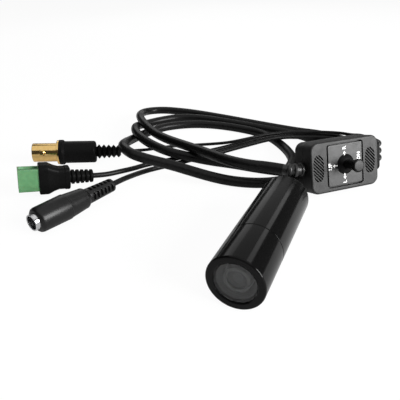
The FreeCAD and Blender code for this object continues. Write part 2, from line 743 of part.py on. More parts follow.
knob_angle = math.asin(knob_foot_r / dome_r)
bore_angle = math.asin(shaft_r / dome_in)
knob_top = dome_depth + knob_reach
knob_spots = [V(shaft_r, 0, shaft_top), V(0, 0, shaft_top), V(0, 0, knob_top)]
knob_spots.append(V(knob_r - knob_edge_r, 0, knob_top))
knob_edges = [Part.LineSegment(a, b).toShape() for a, b in zip(knob_spots, knob_spots[1:])]
edge_share = knob_edge_r * (1 - math.sqrt(0.5))
edge_middle = V(knob_r - edge_share, 0, knob_top - edge_share)
edge_end = V(knob_r, 0, knob_top - knob_edge_r)
knob_edges.append(Part.Arc(knob_spots[-1], edge_middle, edge_end).toShape())
rim_end = V(knob_r, 0, knob_top - knob_rim)
knob_edges.append(Part.LineSegment(edge_end, rim_end).toShape())
dome_start = ball_spot(dome_r, knob_angle)
waist_spot = V(knob_waist_r, 0, (rim_end.z + dome_start.z) / 2)
knob_edges.append(Part.Arc(rim_end, waist_spot, dome_start).toShape())
dome_rim = ball_spot(dome_r, angle)
knob_edges.append(Part.Arc(dome_start, ball_spot(dome_r, (knob_angle + angle) / 2), dome_rim).toShape())
inner_rim = ball_spot(dome_in, angle)
knob_edges.append(Part.LineSegment(dome_rim, inner_rim).toShape())
bore_mouth = ball_spot(dome_in, bore_angle)
knob_edges.append(Part.Arc(inner_rim, ball_spot(dome_in, (bore_angle + angle) / 2), bore_mouth).toShape())
knob_edges.append(Part.LineSegment(bore_mouth, knob_spots[0]).toShape())
knob = Part.Face(Part.Wire(knob_edges)).revolve(V(0, 0, 0), V(0, 0, 1), 360)
knob.translate(pivot_at)
keep("stick_knob", knob, box_seat)
snap_top = pivot_z - shaft_drop - press_travel - press_gap
keep("press_dome", rod(stick_x, stick_y, snap_r, cradle_top, snap_top), box_seat)

# Left strain relief: a bent core with three rings
boot_out = V(-1, 0, 0)
boot_at = V(0, mid_y, split)
turn = math.radians(boot_turn)
swing = box_seat.Rotation.inverted().multVec(V(-box_across.y, box_across.x, 0))


def boot_path(length):
    # point and direction along the relief's bent centre line
    if length <= boot_start:
        return boot_at + boot_out * length, V(boot_out)
    bend = (length - boot_start) / boot_bend_r
    spot = boot_at + boot_out * (boot_start + boot_bend_r * math.sin(bend))
    spot = spot + swing * (boot_bend_r * (1 - math.cos(bend)))
    return spot, V(boot_out * math.cos(bend) + swing * math.sin(bend))


boot_length = boot_start + boot_bend_r * turn
corner_spot = boot_path(boot_start)[0]
bend_middle = boot_path(boot_start + boot_bend_r * turn / 2)[0]
boot_tip = boot_path(boot_length)[0]
boot_inner = boot_at - boot_out * (box_wall + lip_wall)
neck = Part.makeCylinder(boot_neck_r, box_wall + lip_wall, boot_inner, boot_out)
straight = Part.makeCylinder(boot_core_r, boot_start, boot_at, boot_out)
bend_spine = Part.Wire([Part.Arc(corner_spot, bend_middle, boot_tip).toShape()])
bend_ring = Part.Wire(Part.makeCircle(boot_core_r, corner_spot, boot_out))
left_boot = neck.fuse(straight).fuse(bend_spine.makePipeShell([bend_ring], True, False))
for i in range(boot_rings):
    spot, direction = boot_path(boot_ring_start + i * boot_ring_step)
    left_boot = left_boot.fuse(Part.makeCylinder(boot_r, boot_ring, spot, direction))
keep("left_boot", left_boot.removeSplitter(), box_seat)
print("left relief ends at", box_seat.multVec(boot_tip))

# Right strain relief: a pad with one bent outlet for each thin cord
pad_seat = seat(V(box_wide, pad_y, split), V(1, 0, 0), V(0, 0, 1))
pad_depth = box_wall + lip_wall
right_boot = slab(pillow(0, 0, outlet_pad_tall, outlet_pad_wide, outlet_pad_r), 0, outlet_pad)
right_boot = right_boot.makeFillet(outlet_round, end_edges(right_boot, outlet_pad))
neck_face = pillow(0, 0, outlet_neck_tall, outlet_neck_wide, outlet_neck_wide / 2 - notch_gap)
right_boot = right_boot.fuse(slab(neck_face, -pad_depth, 0))
right_boot.Placement = box_seat.multiply(pad_seat)
outlet_ends = [(power_cable_points[-1], -1), (data_cable_points[-1], 0), (video_cable_points[-1], 1)]
for spot, row in outlet_ends:
    root = box_seat.multVec(V(box_wide, pad_y + outlet_rise + row * outlet_step, split))
    knee = root + box_across * outlet_out
    tip = V(*spot)
    back = V(root - knee).normalize()
    ahead = V(tip - knee).normalize()
    outlet_bend = outlet_tangent / math.tan((math.pi - back.getAngle(ahead)) / 2)
    spine = trace([(root, 0), (knee, outlet_bend), (tip, 0)], False)
    round_wire = Part.Wire(Part.makeCircle(outlet_r, root, box_across))
    right_boot = right_boot.fuse(spine.makePipeShell([round_wire], True, False))
keep("right_boot", right_boot.removeSplitter())

# Bayonet jack
bnc_seat = seat(bnc_mouth, bnc_tail - bnc_mouth, V(0, 0, 1))
bnc_length = (bnc_tail - bnc_mouth).Length
flange_end = bnc_barrel + bnc_flange
bnc_shell = turned([
    (bnc_bore_r, 0, bnc_ease), (bnc_barrel_r, 0, edge_ease),
    (bnc_barrel_r, bnc_barrel), (bnc_flange_r, bnc_barrel),
    (bnc_flange_r, flange_end), (bnc_stem_r, flange_end), (bnc_stem_r, flange_end + bnc_stem),
    (contact_r + contact_air, flange_end + bnc_stem), (contact_r + contact_air, bnc_bore_depth),
    (bnc_bore_r, bnc_bore_depth),
])
lug = Part.makeCylinder(bnc_lug_r, bnc_barrel_r + bnc_lug_reach - bnc_bore_r, V(0, 0, 0), V(0, 1, 0))
lug.translate(V(0, bnc_bore_r, bnc_lug_station))
lug = lug.cut(rod(0, 0, bnc_bore_r + lug_root, 0, bnc_barrel))
for copy in spread(lug, 2, bnc_lug_angle):
    bnc_shell = bnc_shell.fuse(copy)
keep("bnc_shell", bnc_shell.removeSplitter(), bnc_seat)
bnc_insulator = turned([
    (contact_r + slide_gap, bnc_core_start), (bnc_core_r, bnc_core_start, bnc_ease),
    (bnc_core_r, bnc_bore_depth - bnc_foot), (bnc_bore_r - slide_gap, bnc_bore_depth - bnc_foot),
    (bnc_bore_r - slide_gap, bnc_bore_depth), (contact_r + slide_gap, bnc_bore_depth),
])
keep("bnc_insulator", bnc_insulator, bnc_seat)
bnc_contact = rod(0, 0, contact_r, contact_start, contact_tail)
bnc_contact = bnc_contact.cut(rod(0, 0, contact_bore_r, contact_start, bnc_bore_depth))
keep("bnc_contact", bnc_contact, bnc_seat)
collar_end = flange_end + bnc_collar
body_end = collar_end + bnc_body
bnc_outline = [
    (bnc_stem_r, flange_end), (bnc_collar_r, flange_end), (bnc_collar_r, collar_end - bnc_collar_slope),
    (bnc_body_r, collar_end), (bnc_body_r, body_end, bnc_body_round),
    (bnc_relief_core_r + bnc_relief_root, body_end),
]
bnc_outline += ribbed(body_end + bnc_relief_gap, bnc_length, bnc_ribs, bnc_relief_r, bnc_relief_end_r,
                      bnc_relief_core_r, bnc_relief_core_end_r, True)
bnc_outline += [
    (0, bnc_length), (0, contact_tail), (contact_r, contact_tail), (contact_r, flange_end + bnc_stem),
    (bnc_stem_r, flange_end + bnc_stem),
]
keep("bnc_body", turned(bnc_outline), bnc_seat)

# Terminal plug: a green shroud with two pins in a waisted hood
plug_axis = V(plug_tail - plug_mouth)
plug_length = plug_axis.Length
plug_level = seat(plug_mouth, plug_axis, V(0, 0, 1))
roll = FreeCAD.Rotation(V(0, 0, 1), -plug_roll)
plug_seat = plug_level.multiply(FreeCAD.Placement(V(0, 0, 0), roll))
plug_face = pillow(0, 0, plug_wide, plug_tall, plug_corner_r)
plug_block = slab(plug_face, 0, plug_show + plug_hidden)
cavity_face = pillow(0, 0, plug_wide - 2 * plug_wall, plug_tall - 2 * plug_wall, plug_inner_r)
plug_block = plug_block.cut(slab(cavity_face, 0, plug_cavity))
top_slot = Part.makeBox(plug_slot_wide, plug_slot_deep, plug_slot_long)
top_slot.translate(V(-plug_slot_wide / 2, plug_tall / 2 - plug_slot_deep, plug_slot_start))
plug_block = plug_block.cut(top_slot)
pins = []
for side in (-1, 1):
    pin = Part.makeBox(pin_side, pin_side, pin_tail - pin_start)
    pin.translate(V(-pin_side / 2, side * pin_pitch / 2 - pin_side / 2, pin_start))
    plug_block = plug_block.cut(pin)
    pins.append(pin)
keep("plug_block", plug_block, plug_seat)
hood_step = plug_show + hood_front
hood_neck = hood_step + hood_waist
hood_end = hood_neck + hood_back


def hood_section(wide, tall, corner_r, station):
    wire = pillow(0, 0, wide, tall, corner_r)
    wire.translate(V(0, 0, station))
    return wire


hood = slab(pillow(0, 0, hood_wide, hood_tall, hood_corner_r), plug_show, hood_step)
waist = Part.makeLoft([
    hood_section(hood_wide, hood_tall, hood_corner_r, hood_step),
    hood_section(hood_mid_wide, hood_mid_tall, hood_waist_r, hood_step + hood_waist / 2),
    hood_section(hood_waist_wide, hood_waist_tall, hood_waist_r, hood_neck),
], True, False)
back_block = slab(pillow(0, 0, hood_waist_wide, hood_waist_tall, hood_waist_r), hood_neck, hood_end)
relief_outline = ribbed(hood_end, plug_length, plug_ribs, plug_relief_r, plug_relief_r - plug_relief_taper,
                        plug_relief_core_r, plug_relief_core_r - plug_relief_taper, False)
relief = turned([(0, hood_end)] + relief_outline + [(0, plug_length)])
hood = hood.fuse(waist).fuse(back_block).fuse(relief)
hood = hood.cut(slab(plug_face, plug_show, plug_show + plug_hidden))
for pin in pins:
    hood = hood.cut(pin)
keep("plug_hood", hood.removeSplitter(), plug_seat)
keep("plug_pins", pins, plug_seat)

# Power jack
jack_seat = seat(jack_mouth, jack_tail - jack_mouth, V(0, 0, 1))
jack_length = (jack_tail - jack_mouth).Length
dc_sleeve = turned([
    (jack_bore_r, 0, jack_ease), (jack_sleeve_r, 0, jack_ease),
    (jack_sleeve_r, jack_sleeve), (jack_bore_r, jack_sleeve),
])
keep("dc_sleeve", dc_sleeve, jack_seat)
dc_insulator = turned([
    (jack_pin_r, jack_bore_depth), (jack_bore_r, jack_bore_depth),
    (jack_bore_r, jack_sleeve), (jack_pin_r, jack_sleeve),
])
keep("dc_insulator", dc_insulator, jack_seat)
dc_pin = turned([
    (0, jack_pin_start), (jack_pin_r, jack_pin_start, jack_pin_round),
    (jack_pin_r, jack_pin_tail), (0, jack_pin_tail),
])
keep("dc_pin", dc_pin, jack_seat)
step_at = jack_show + jack_body
shoulder_at = step_at + jack_second
relief_at = shoulder_at + jack_shoulder
dc_outline = [
    (jack_sleeve_r, jack_show), (jack_body_r, jack_show, jack_round), (jack_body_end_r, step_at),
    (jack_step_r, step_at + jack_step), (jack_second_end_r, shoulder_at, jack_shoulder_r),
    (jack_relief_r - jack_relief_core, relief_at),
]
dc_outline += ribbed(relief_at, jack_length, jack_ribs, jack_relief_r, jack_relief_end_r,
                     jack_relief_r - jack_relief_core, jack_relief_end_r - jack_relief_core, False)[1:]
dc_outline += [
    (0, jack_length), (0, jack_pin_tail), (jack_pin_r, jack_pin_tail), (jack_pin_r, jack_sleeve),
    (jack_sleeve_r, jack_sleeve),
]
keep("dc_body", turned(dc_outline), jack_seat)

# Cords
keep("camera_cable", tube(camera_cable_points, camera_cable_d))
keep("video_cable", tube(video_cable_points, video_cable_d))
keep("data_cable", tube(data_cable_points, data_cable_d))
keep("power_cable", tube(power_cable_points, power_cable_d))
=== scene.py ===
import bpy
import bmesh
import math
import numpy as np
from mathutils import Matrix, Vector


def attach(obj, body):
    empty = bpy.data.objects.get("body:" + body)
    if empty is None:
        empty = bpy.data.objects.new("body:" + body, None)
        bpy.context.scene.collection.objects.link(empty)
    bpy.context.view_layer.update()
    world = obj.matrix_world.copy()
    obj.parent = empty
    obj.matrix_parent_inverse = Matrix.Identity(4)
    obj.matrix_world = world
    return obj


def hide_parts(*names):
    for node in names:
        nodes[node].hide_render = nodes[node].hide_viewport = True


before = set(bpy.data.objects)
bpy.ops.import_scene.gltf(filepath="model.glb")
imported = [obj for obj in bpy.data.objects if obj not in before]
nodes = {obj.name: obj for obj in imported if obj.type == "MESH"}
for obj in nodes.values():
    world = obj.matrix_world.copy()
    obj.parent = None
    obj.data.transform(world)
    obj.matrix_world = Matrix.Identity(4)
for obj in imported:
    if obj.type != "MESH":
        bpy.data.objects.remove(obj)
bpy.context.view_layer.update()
mm = 0.001
still = "camera_and_cords"
linkObject = bpy.context.scene.collection.objects.link
print("frame loaded,", len(nodes), "nodes")

# Camera at the photo's viewing angle
view = {"focal": 36.9, "sensor": 36.0, "near": 0.005, "place": (0.02947, -0.11879, 0.08895),
        "look": (-0.3638, 0.7968, -0.4825)}
lensData = bpy.data.cameras.new("studioCamera")
lensData.lens = view["focal"]
lensData.sensor_width = view["sensor"]
lensData.clip_start = view["near"]
studioCamera = bpy.data.objects.new("studioCamera", lensData)
studioCamera.location = view["place"]
studioCamera.rotation_euler = Vector(view["look"]).to_track_quat("-Z", "Y").to_euler()
linkObject(studioCamera)
bpy.context.scene.camera = studioCamera
bpy.context.scene.view_settings.view_transform = "Standard"

# Cord routes in millimetres, point by point
cameraRoute = [
    (0, 34.5, 9.6), (0, 40.5, 9.1), (-2.9, 49.1, 7.5), (-5.6, 57.7, 8.5), (-5.8, 67.7, 8.6), (-7.9, 76.9, 6.6),
    (-12.8, 90.1, 4.1), (-19.2, 101.9, 2.6), (-27.7, 111.6, 2.5), (-37.5, 118.1, 2.5), (-50, 120.8, 2.5),
    (-65, 121.2, 2.5), (-78.9, 118.2, 2.5), (-90.2, 111.1, 2.5), (-98.9, 100.4, 2.5), (-102.6, 85.6, 2.5),
    (-101.9, 70.2, 3.9), (-90.8, 49.5, 11.3), (-86, 40.3, 13.5), (-77.1, 34.2, 13.3), (-68.7, 35.8, 11.3),
    (-58.8, 39.9, 8.7), (-48.6, 42.5, 6.1), (-38.4, 44.7, 3.9), (-29, 46.8, 2.7), (-18.4, 49.9, 2.5),
    (-9.5, 55.4, 2.5), (-3.3, 62.3, 3.4), (2, 69.7, 8.1), (6, 81.5, 7.6), (6.4, 92, 4.9), (3.8, 102.5, 2.7),
    (-2, 115.3, 2.5), (-11, 123.8, 2.5), (-21.3, 125.2, 2.5), (-33.6, 126.5, 2.5), (-49.1, 128.3, 2.5),
    (-66.1, 129.9, 2.5), (-84.6, 130.3, 2.5), (-98.3, 125, 2.5), (-106.5, 114, 2.5), (-110.2, 106, 2.5),
    (-112.9, 96.8, 3.3), (-104.8, 81.2, 8.1), (-99.3, 73.2, 8.7), (-91.3, 66.6, 8.1), (-82.1, 62.6, 7),
    (-70.8, 59.3, 6.2), (-59.3, 60, 5.2), (-48, 63.8, 3.1), (-36.5, 66.5, 2.5), (-23.3, 66.6, 2.5), (-11, 67.8, 2.5),
    (0.6, 71.8, 2.5), (10, 80.6, 2.5), (16.4, 90.1, 2.5), (18.8, 101.6, 2.5), (16.2, 113.6, 2.5), (8.1, 127.7, 2.5),
    (-3.2, 131.4, 2.5), (-17.1, 130.5, 2.5), (-33.7, 132.2, 2.5), (-51.4, 134.4, 2.5), (-68.4, 136.7, 2.5),
    (-82.4, 138.2, 2.5), (-95.1, 138.9, 2.5), (-105.4, 138.2, 2.5), (-115.3, 136.5, 2.5), (-122.5, 131.9, 2.5),
    (-124.5, 123.7, 3.5), (-120.2, 111.9, 5.8), (-112.2, 98.4, 9), (-105.2, 90.1, 9.3), (-94.9, 81.5, 8.2),
    (-85.3, 75.4, 7.7), (-73.9, 70, 8), (-60.5, 64.1, 9), (-46.5, 56.3, 10.7), (-33.2, 49.7, 11.6), (-20.8, 47, 12.5),
    (-12.9, 48, 12.8), (-6.14, 48.02, 12.76),
]
videoRoute = [
    (27.4, 88.7, 17.9), (24.3, 97.2, 16.2), (20.6, 105.5, 14), (16.3, 113.1, 10.9), (9.5, 116.8, 9.9),
    (0.2, 116.1, 9.3), (-9.4, 112.4, 9.2), (-19.4, 107.9, 8.9), (-28.5, 101.2, 8.5), (-37.1, 93.8, 7.2),
    (-46.3, 87.6, 5.4), (-57, 85.7, 3.4), (-68.7, 83.7, 1.6), (-79, 79.3, 0.85), (-85.1, 72.6, 1), (-87.5, 65.6, 2.2),
    (-88.7, 58.9, 4.1), (-91.7, 54, 5), (-95.3, 51.6, 5.2),
]
dataRoute = [
    (28.2, 88, 14.8), (24.5, 95.7, 13.5), (20.3, 103.3, 11.6), (15.8, 110.6, 8.6), (8.3, 119.1, 7.1),
    (-1.1, 118.2, 6.7), (-11.2, 115, 6.9), (-20.1, 110.1, 6.7), (-29, 103.2, 6.4), (-37.8, 95.9, 4.8),
    (-46.8, 88.6, 2.6), (-55.5, 80.2, 1.35), (-63.4, 69.5, 1.35), (-71, 58.3, 1.35), (-77.8, 49.6, 1.45),
    (-80.6, 40.7, 2.2), (-82.9, 33.1, 3.4), (-86.8, 25.6, 3.9), (-90.8, 21.1, 4.7),
]
powerRoute = [
    (28.9, 87.3, 11.6), (24.8, 94.5, 10.4), (20.5, 101.3, 8.9), (15.6, 107.6, 7.65), (7.8, 114.8, 6.85),
    (-1.7, 114, 6.45), (-10.8, 110.8, 6.35), (-19.2, 106, 6.85), (-27, 100.2, 6.2), (-35.5, 93, 4.4),
    (-44, 85.4, 2.65), (-51.8, 76.6, 1.35), (-59.2, 65.6, 1.35), (-66.1, 54.6, 1.35), (-72.1, 46.3, 1.35),
    (-74.3, 38.7, 2.25), (-74.6, 31.7, 3.6), (-74.5, 21.4, 5.6), (-75.7, 15.4, 5.56),
]


def layCord(name, route, diameter, node):
    # one smooth NURBS line with the route's points as control points, given a round section
    line = bpy.data.curves.new(name, "CURVE")
    line.dimensions = "3D"
    spline = line.splines.new("NURBS")
    spline.points.add(len(route) - 1)
    spline.points.foreach_set("co", np.column_stack([np.array(route) * mm, np.ones(len(route))]).ravel())
    spline.points.foreach_set("radius", np.full(len(route), diameter * mm / 2))
    spline.order_u = 3
    spline.use_endpoint_u = True
    spline.resolution_u = 10
    line.bevel_depth = 1.0    # times each point's own radius
    line.bevel_resolution = 8
    line.use_fill_caps = True
    cordPiece = bpy.data.objects.new(name, line)
    linkObject(cordPiece)
    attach(cordPiece, still)
    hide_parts(node)
    return cordPiece


cameraCord = layCord("cameraCord", cameraRoute, diameter=5.0, node="camera_cable")
videoCord = layCord("videoCord", videoRoute, diameter=1.7, node="video_cable")
dataCord = layCord("dataCord", dataRoute, diameter=2.5, node="data_cable")
powerCord = layCord("powerCord", powerRoute, diameter=2.5, node="power_cable")
print("cords laid")


# Finishes: two noise-mixed tones, noise-driven roughness and a fine bump, all on Object coordinates
speckle = {"detail": 3.0, "bumpDetail": 2.0, "rough": 0.55, "roughScale": 400.0, "bumpStrength": 0.6,
           "toneFrom": 0.35, "toneTo": 0.65, "roughFrom": 0.3, "roughTo": 0.7}


def makeFinish(name, look):
    made = bpy.data.materials.new(name)
    made.use_nodes = True
    tree = made.node_tree
    shader = tree.nodes["Principled BSDF"]
    place = tree.nodes.new("ShaderNodeTexCoord")

    def noise(scale, detail=speckle["detail"]):
        grain = tree.nodes.new("ShaderNodeTexNoise")
        grain.inputs["Scale"].default_value = scale
        grain.inputs["Detail"].default_value = detail
        grain.inputs["Roughness"].default_value = speckle["rough"]
        tree.links.new(place.outputs["Object"], grain.inputs["Vector"])
        return grain.outputs["Fac"]

    ramp = tree.nodes.new("ShaderNodeValToRGB")
    ramp.color_ramp.elements[0].position = speckle["toneFrom"]
    ramp.color_ramp.elements[1].position = speckle["toneTo"]
    ramp.color_ramp.elements[0].color = (*look["dark"], 1)
    ramp.color_ramp.elements[1].color = (*look["pale"], 1)
    tree.links.new(noise(look["grain"]), ramp.inputs["Fac"])
    tree.links.new(ramp.outputs["Color"], shader.inputs["Base Color"])
    spread = tree.nodes.new("ShaderNodeMapRange")
    spread.inputs["From Min"].default_value = speckle["roughFrom"]
    spread.inputs["From Max"].default_value = speckle["roughTo"]
    spread.inputs["To Min"].default_value = look["rough"][0]
    spread.inputs["To Max"].default_value = look["rough"][1]
    tree.links.new(noise(speckle["roughScale"]), spread.inputs["Value"])
    tree.links.new(spread.outputs["Result"], shader.inputs["Roughness"])
    if "bump" in look:
        relief = tree.nodes.new("ShaderNodeBump")
        relief.inputs["Strength"].default_value = speckle["bumpStrength"]
        relief.inputs["Distance"].default_value = look["bump"] * mm
        tree.links.new(noise(look["bumpGrain"], speckle["bumpDetail"]), relief.inputs["Height"])
        tree.links.new(relief.outputs["Normal"], shader.inputs["Normal"])
    for socket, value in look.get("sockets", {}).items():
        shader.inputs[socket].default_value = value
    return made


def blackLook(tones, grain, rough, bump, bumpGrain, shine):
    # a dark and a pale grey, with a weak mirror of the given strength
    return {"dark": (tones[0],) * 3, "pale": (tones[1],) * 3, "grain": grain, "rough": rough, "bump": bump,
            "bumpGrain": bumpGrain, "sockets": {"Specular IOR Level": shine}}


finishes = {
    "anodisedBlack": blackLook((0.003, 0.005), 2600.0, (0.11, 0.16), bump=0.002, bumpGrain=9000.0, shine=0.13),
    "boxPlastic": blackLook((0.005, 0.009), 3200.0, (0.48, 0.56), bump=0.02, bumpGrain=5200.0, shine=0.42),
    "plateBlack": blackLook((0.010, 0.015), 2800.0, (0.44, 0.52), bump=0.01, bumpGrain=5200.0, shine=0.5),
    "stickBlack": blackLook((0.003, 0.005), 2600.0, (0.42, 0.5), bump=0.006, bumpGrain=5200.0, shine=0.1),
    # stick end face: its higher gloss takes real glare, and its lighter tone than stickBlack is painted sheen
    "stickTopSheen": blackLook((0.010, 0.016), 2400.0, (0.46, 0.54), bump=0.01, bumpGrain=5200.0, shine=0.36),
    "reliefRubber": blackLook((0.010, 0.017), 1800.0, (0.30, 0.38), bump=0.01, bumpGrain=4200.0, shine=0.52),
    "bootRubber": blackLook((0.006, 0.010), 1800.0, (0.4, 0.5), bump=0.012, bumpGrain=4200.0, shine=0.05),
    "cableJacket": blackLook((0.004, 0.007), 900.0, (0.3, 0.4), bump=0.003, bumpGrain=1500.0, shine=0.18),
    "plugBlack": blackLook((0.004, 0.006), 2200.0, (0.34, 0.42), bump=0.012, bumpGrain=4600.0, shine=0.05),
    "jackBlack": blackLook((0.005, 0.008), 2200.0, (0.32, 0.4), bump=0.008, bumpGrain=4600.0, shine=0.3),
    "bayonetGold": {"dark": (0.83, 0.55, 0.20), "pale": (0.90, 0.63, 0.26), "grain": 700.0, "rough": (0.13, 0.18),
                    "bump": 0.004, "bumpGrain": 2600.0, "sockets": {"Metallic": 1.0}},
    "sleeveSteel": {"dark": (0.62, 0.62, 0.63), "pale": (0.74, 0.74, 0.75), "grain": 900.0, "rough": (0.14, 0.24),
                    "bump": 0.003, "bumpGrain": 3000.0, "sockets": {"Metallic": 1.0}},
    # very dark steel for the jack's centre pin: painted shade inside the bore
    "shadedPinSteel": {"dark": (0.10, 0.10, 0.10), "pale": (0.16, 0.16, 0.16), "grain": 900.0, "rough": (0.35, 0.45),
                 "sockets": {"Metallic": 1.0}},
    "postBrass": {"dark": (0.60, 0.44, 0.20), "pale": (0.70, 0.52, 0.26), "grain": 900.0, "rough": (0.25, 0.35),
                  "sockets": {"Metallic": 1.0}},
    "terminalGreen": {"dark": (0.093, 0.242, 0.105), "pale": (0.113, 0.280, 0.125), "grain": 500.0,
                      "rough": (0.32, 0.42), "bump": 0.006, "bumpGrain": 3000.0,
                      "sockets": {"Specular IOR Level": 0.5, "Subsurface Weight": 0.12, "Subsurface Scale": 0.001}},
    "insulatorWhite": {"dark": (0.72, 0.71, 0.67), "pale": (0.80, 0.79, 0.76), "grain": 900.0, "rough": (0.4, 0.5)},
    "paintWhite": {"dark": (0.86, 0.86, 0.85), "pale": (0.94, 0.94, 0.93), "grain": 2600.0, "rough": (0.5, 0.6)},
    "insideBlack": {"dark": (0.006, 0.006, 0.006), "pale": (0.011, 0.011, 0.011), "grain": 1500.0,
                    "rough": (0.6, 0.75), "sockets": {"Specular IOR Level": 0.2}},
    "lensBarrelBlack": {"dark": (0.012, 0.012, 0.012), "pale": (0.020, 0.020, 0.020), "grain": 2600.0,
                        "rough": (0.35, 0.45), "sockets": {"Specular IOR Level": 0.4}},
    "boardGreen": {"dark": (0.010, 0.085, 0.035), "pale": (0.018, 0.120, 0.050), "grain": 700.0, "rough": (0.3, 0.4)},
    "sensorGrey": {"dark": (0.05, 0.05, 0.055), "pale": (0.08, 0.08, 0.085), "grain": 900.0, "rough": (0.2, 0.3)},
    "windowGlass": {"dark": (0.93, 0.95, 0.95), "pale": (0.97, 0.98, 0.98), "grain": 300.0, "rough": (0.0, 0.02),
                    "sockets": {"Transmission Weight": 1.0, "IOR": 1.4}},
    "lensGlass": {"dark": (0.30, 0.32, 0.34), "pale": (0.36, 0.38, 0.40), "grain": 300.0, "rough": (0.0, 0.02),
                  "sockets": {"Transmission Weight": 1.0, "IOR": 1.25}},
}
finish = {name: makeFinish(name, look) for name, look in finishes.items()}
for cordPiece in (cameraCord, videoCord, dataCord, powerCord):
    cordPiece.data.materials.append(finish["cableJacket"])
print("finishes made,", len(finish))


# Surface helpers
def seatOf(origin, along, up):
    # origin and axes: local Z runs along, local Y leans to up
    z = np.array(along, float) / np.linalg.norm(along)
    x = np.cross(up, z)
    x = x / np.linalg.norm(x)
    return np.array(origin, float), np.column_stack([x, np.cross(z, x), z])


def inSeat(points, seat):
    # the seat's own millimetres to the frame's millimetres
    return points @ seat[1].T + seat[0]


def unit(rows):
    # each row scaled to length one
    return rows / np.maximum(np.linalg.norm(rows, axis=1, keepdims=True), 1e-9)


def softLine(corners, steps=8):
    # each corner (a, b, radius) becomes an arc: centre along the bisector, swept between the two tangent points
    spots = np.array([(c[0], c[1]) for c in corners], float)
    radius = np.array([c[2] if len(c) > 2 else 0.0 for c in corners])[:, None]
    back = unit(np.roll(spots, 1, 0) - spots)
    ahead = unit(np.roll(spots, -1, 0) - spots)
    halfTurn = (math.pi - np.arccos(np.clip((back * ahead).sum(1, keepdims=True), -1, 1))) / 2
    inward = unit(back + ahead)
    centre = spots + inward * radius / np.maximum(np.cos(halfTurn), 1e-6)
    first = spots + back * radius * np.tan(np.minimum(halfTurn, 1.5)) - centre
    last = spots + ahead * radius * np.tan(np.minimum(halfTurn, 1.5)) - centre
    sweep = np.maximum(2 * halfTurn, 1e-6)[:, :, None]
    share = np.linspace(0, 1, steps)[None, :, None]
    arc = np.sin((1 - share) * sweep) * first[:, None] + np.sin(share * sweep) * last[:, None]
    arc = arc / np.sin(sweep)
    return (centre[:, None] + arc).reshape(-1, 2)


def turned(corners, around=96, steps=8, dent=None):
    # profile turned about local Z: (r cos, r sin, station), r lessened by dent(r, station, angle)
    line = softLine(corners, steps)
    angle = np.linspace(0, 2 * math.pi, around, endpoint=False)[None, :]
    station = np.repeat(line[:, 1:], around, 1)
    radius = np.repeat(line[:, :1], around, 1)
    if dent is not None:
        radius = radius - dent(radius, station, angle)
    return np.stack([radius * np.cos(angle), radius * np.sin(angle), station], -1)


def pillowRings(wide, tall, corner, arcSteps=9, runs=(12, 12)):
    # rounded-rectangle rings, one per row: four arcs joined by straight runs (runs[0] across, runs[1] up)
    wide, tall, corner = [np.atleast_1d(np.asarray(v, float)) for v in np.broadcast_arrays(wide, tall, corner)]
    quarter = np.linspace(0, math.pi / 2, arcSteps)
    strips = []
    for side, (sx, sy) in enumerate(((1, 1), (-1, 1), (-1, -1), (1, -1))):
        turn = quarter + side * math.pi / 2
        arcX = (sx * (wide / 2 - corner))[:, None] + corner[:, None] * np.cos(turn)
        arcY = (sy * (tall / 2 - corner))[:, None] + corner[:, None] * np.sin(turn)
        strips.append((arcX, arcY))
    rows = []
    for side in range(4):
        arcX, arcY = strips[side]
        nextX, nextY = strips[(side + 1) % 4]
        share = np.linspace(0, 1, runs[side % 2] + 2)[1:-1]
        runX = arcX[:, -1:] + (nextX[:, :1] - arcX[:, -1:]) * share
        runY = arcY[:, -1:] + (nextY[:, :1] - arcY[:, -1:]) * share
        rows.append(np.stack([np.hstack([arcX, runX]), np.hstack([arcY, runY])], -1))
    return np.concatenate(rows, 1)


def withHeight(rings, height):
    # flat rings (rows x columns x 2) lifted to their stations
    height = np.broadcast_to(np.asarray(height, float).reshape(len(rings), -1), rings.shape[:2])
    return np.concatenate([rings, height[:, :, None]], -1)


def swept(centre, tangent, side, radius, around=48):
    # circles of the given radius round a path: centre + radius (cos side + sin binormal)
    tangent = unit(tangent)
    side = unit(side - (side * tangent).sum(1, keepdims=True) * tangent)
    binormal = np.cross(tangent, side)
    angle = np.linspace(0, 2 * math.pi, around, endpoint=False)[None, :, None]
    spoke = np.cos(angle) * side[:, None] + np.sin(angle) * binormal[:, None]
    return centre[:, None] + radius[:, None, None] * spoke


merge = {"made": 2e-7, "copied": 1e-6, "flat": 0.5}


def smoothFaces(mesh, near, sharp, flat=0.0):
    # merges near points, joins flat faces where asked, and shades all but the sharp edges smooth
    tidy = bmesh.new()
    tidy.from_mesh(mesh)
    bmesh.ops.remove_doubles(tidy, verts=tidy.verts, dist=near)
    if flat > 0:
        bmesh.ops.dissolve_limit(tidy, angle_limit=math.radians(flat), verts=tidy.verts, edges=tidy.edges)
    else:
        bmesh.ops.dissolve_degenerate(tidy, edges=tidy.edges, dist=near)
    tidy.to_mesh(mesh)
    tidy.free()
    mesh.shade_smooth()
    mesh.set_sharp_from_angle(angle=math.radians(sharp))


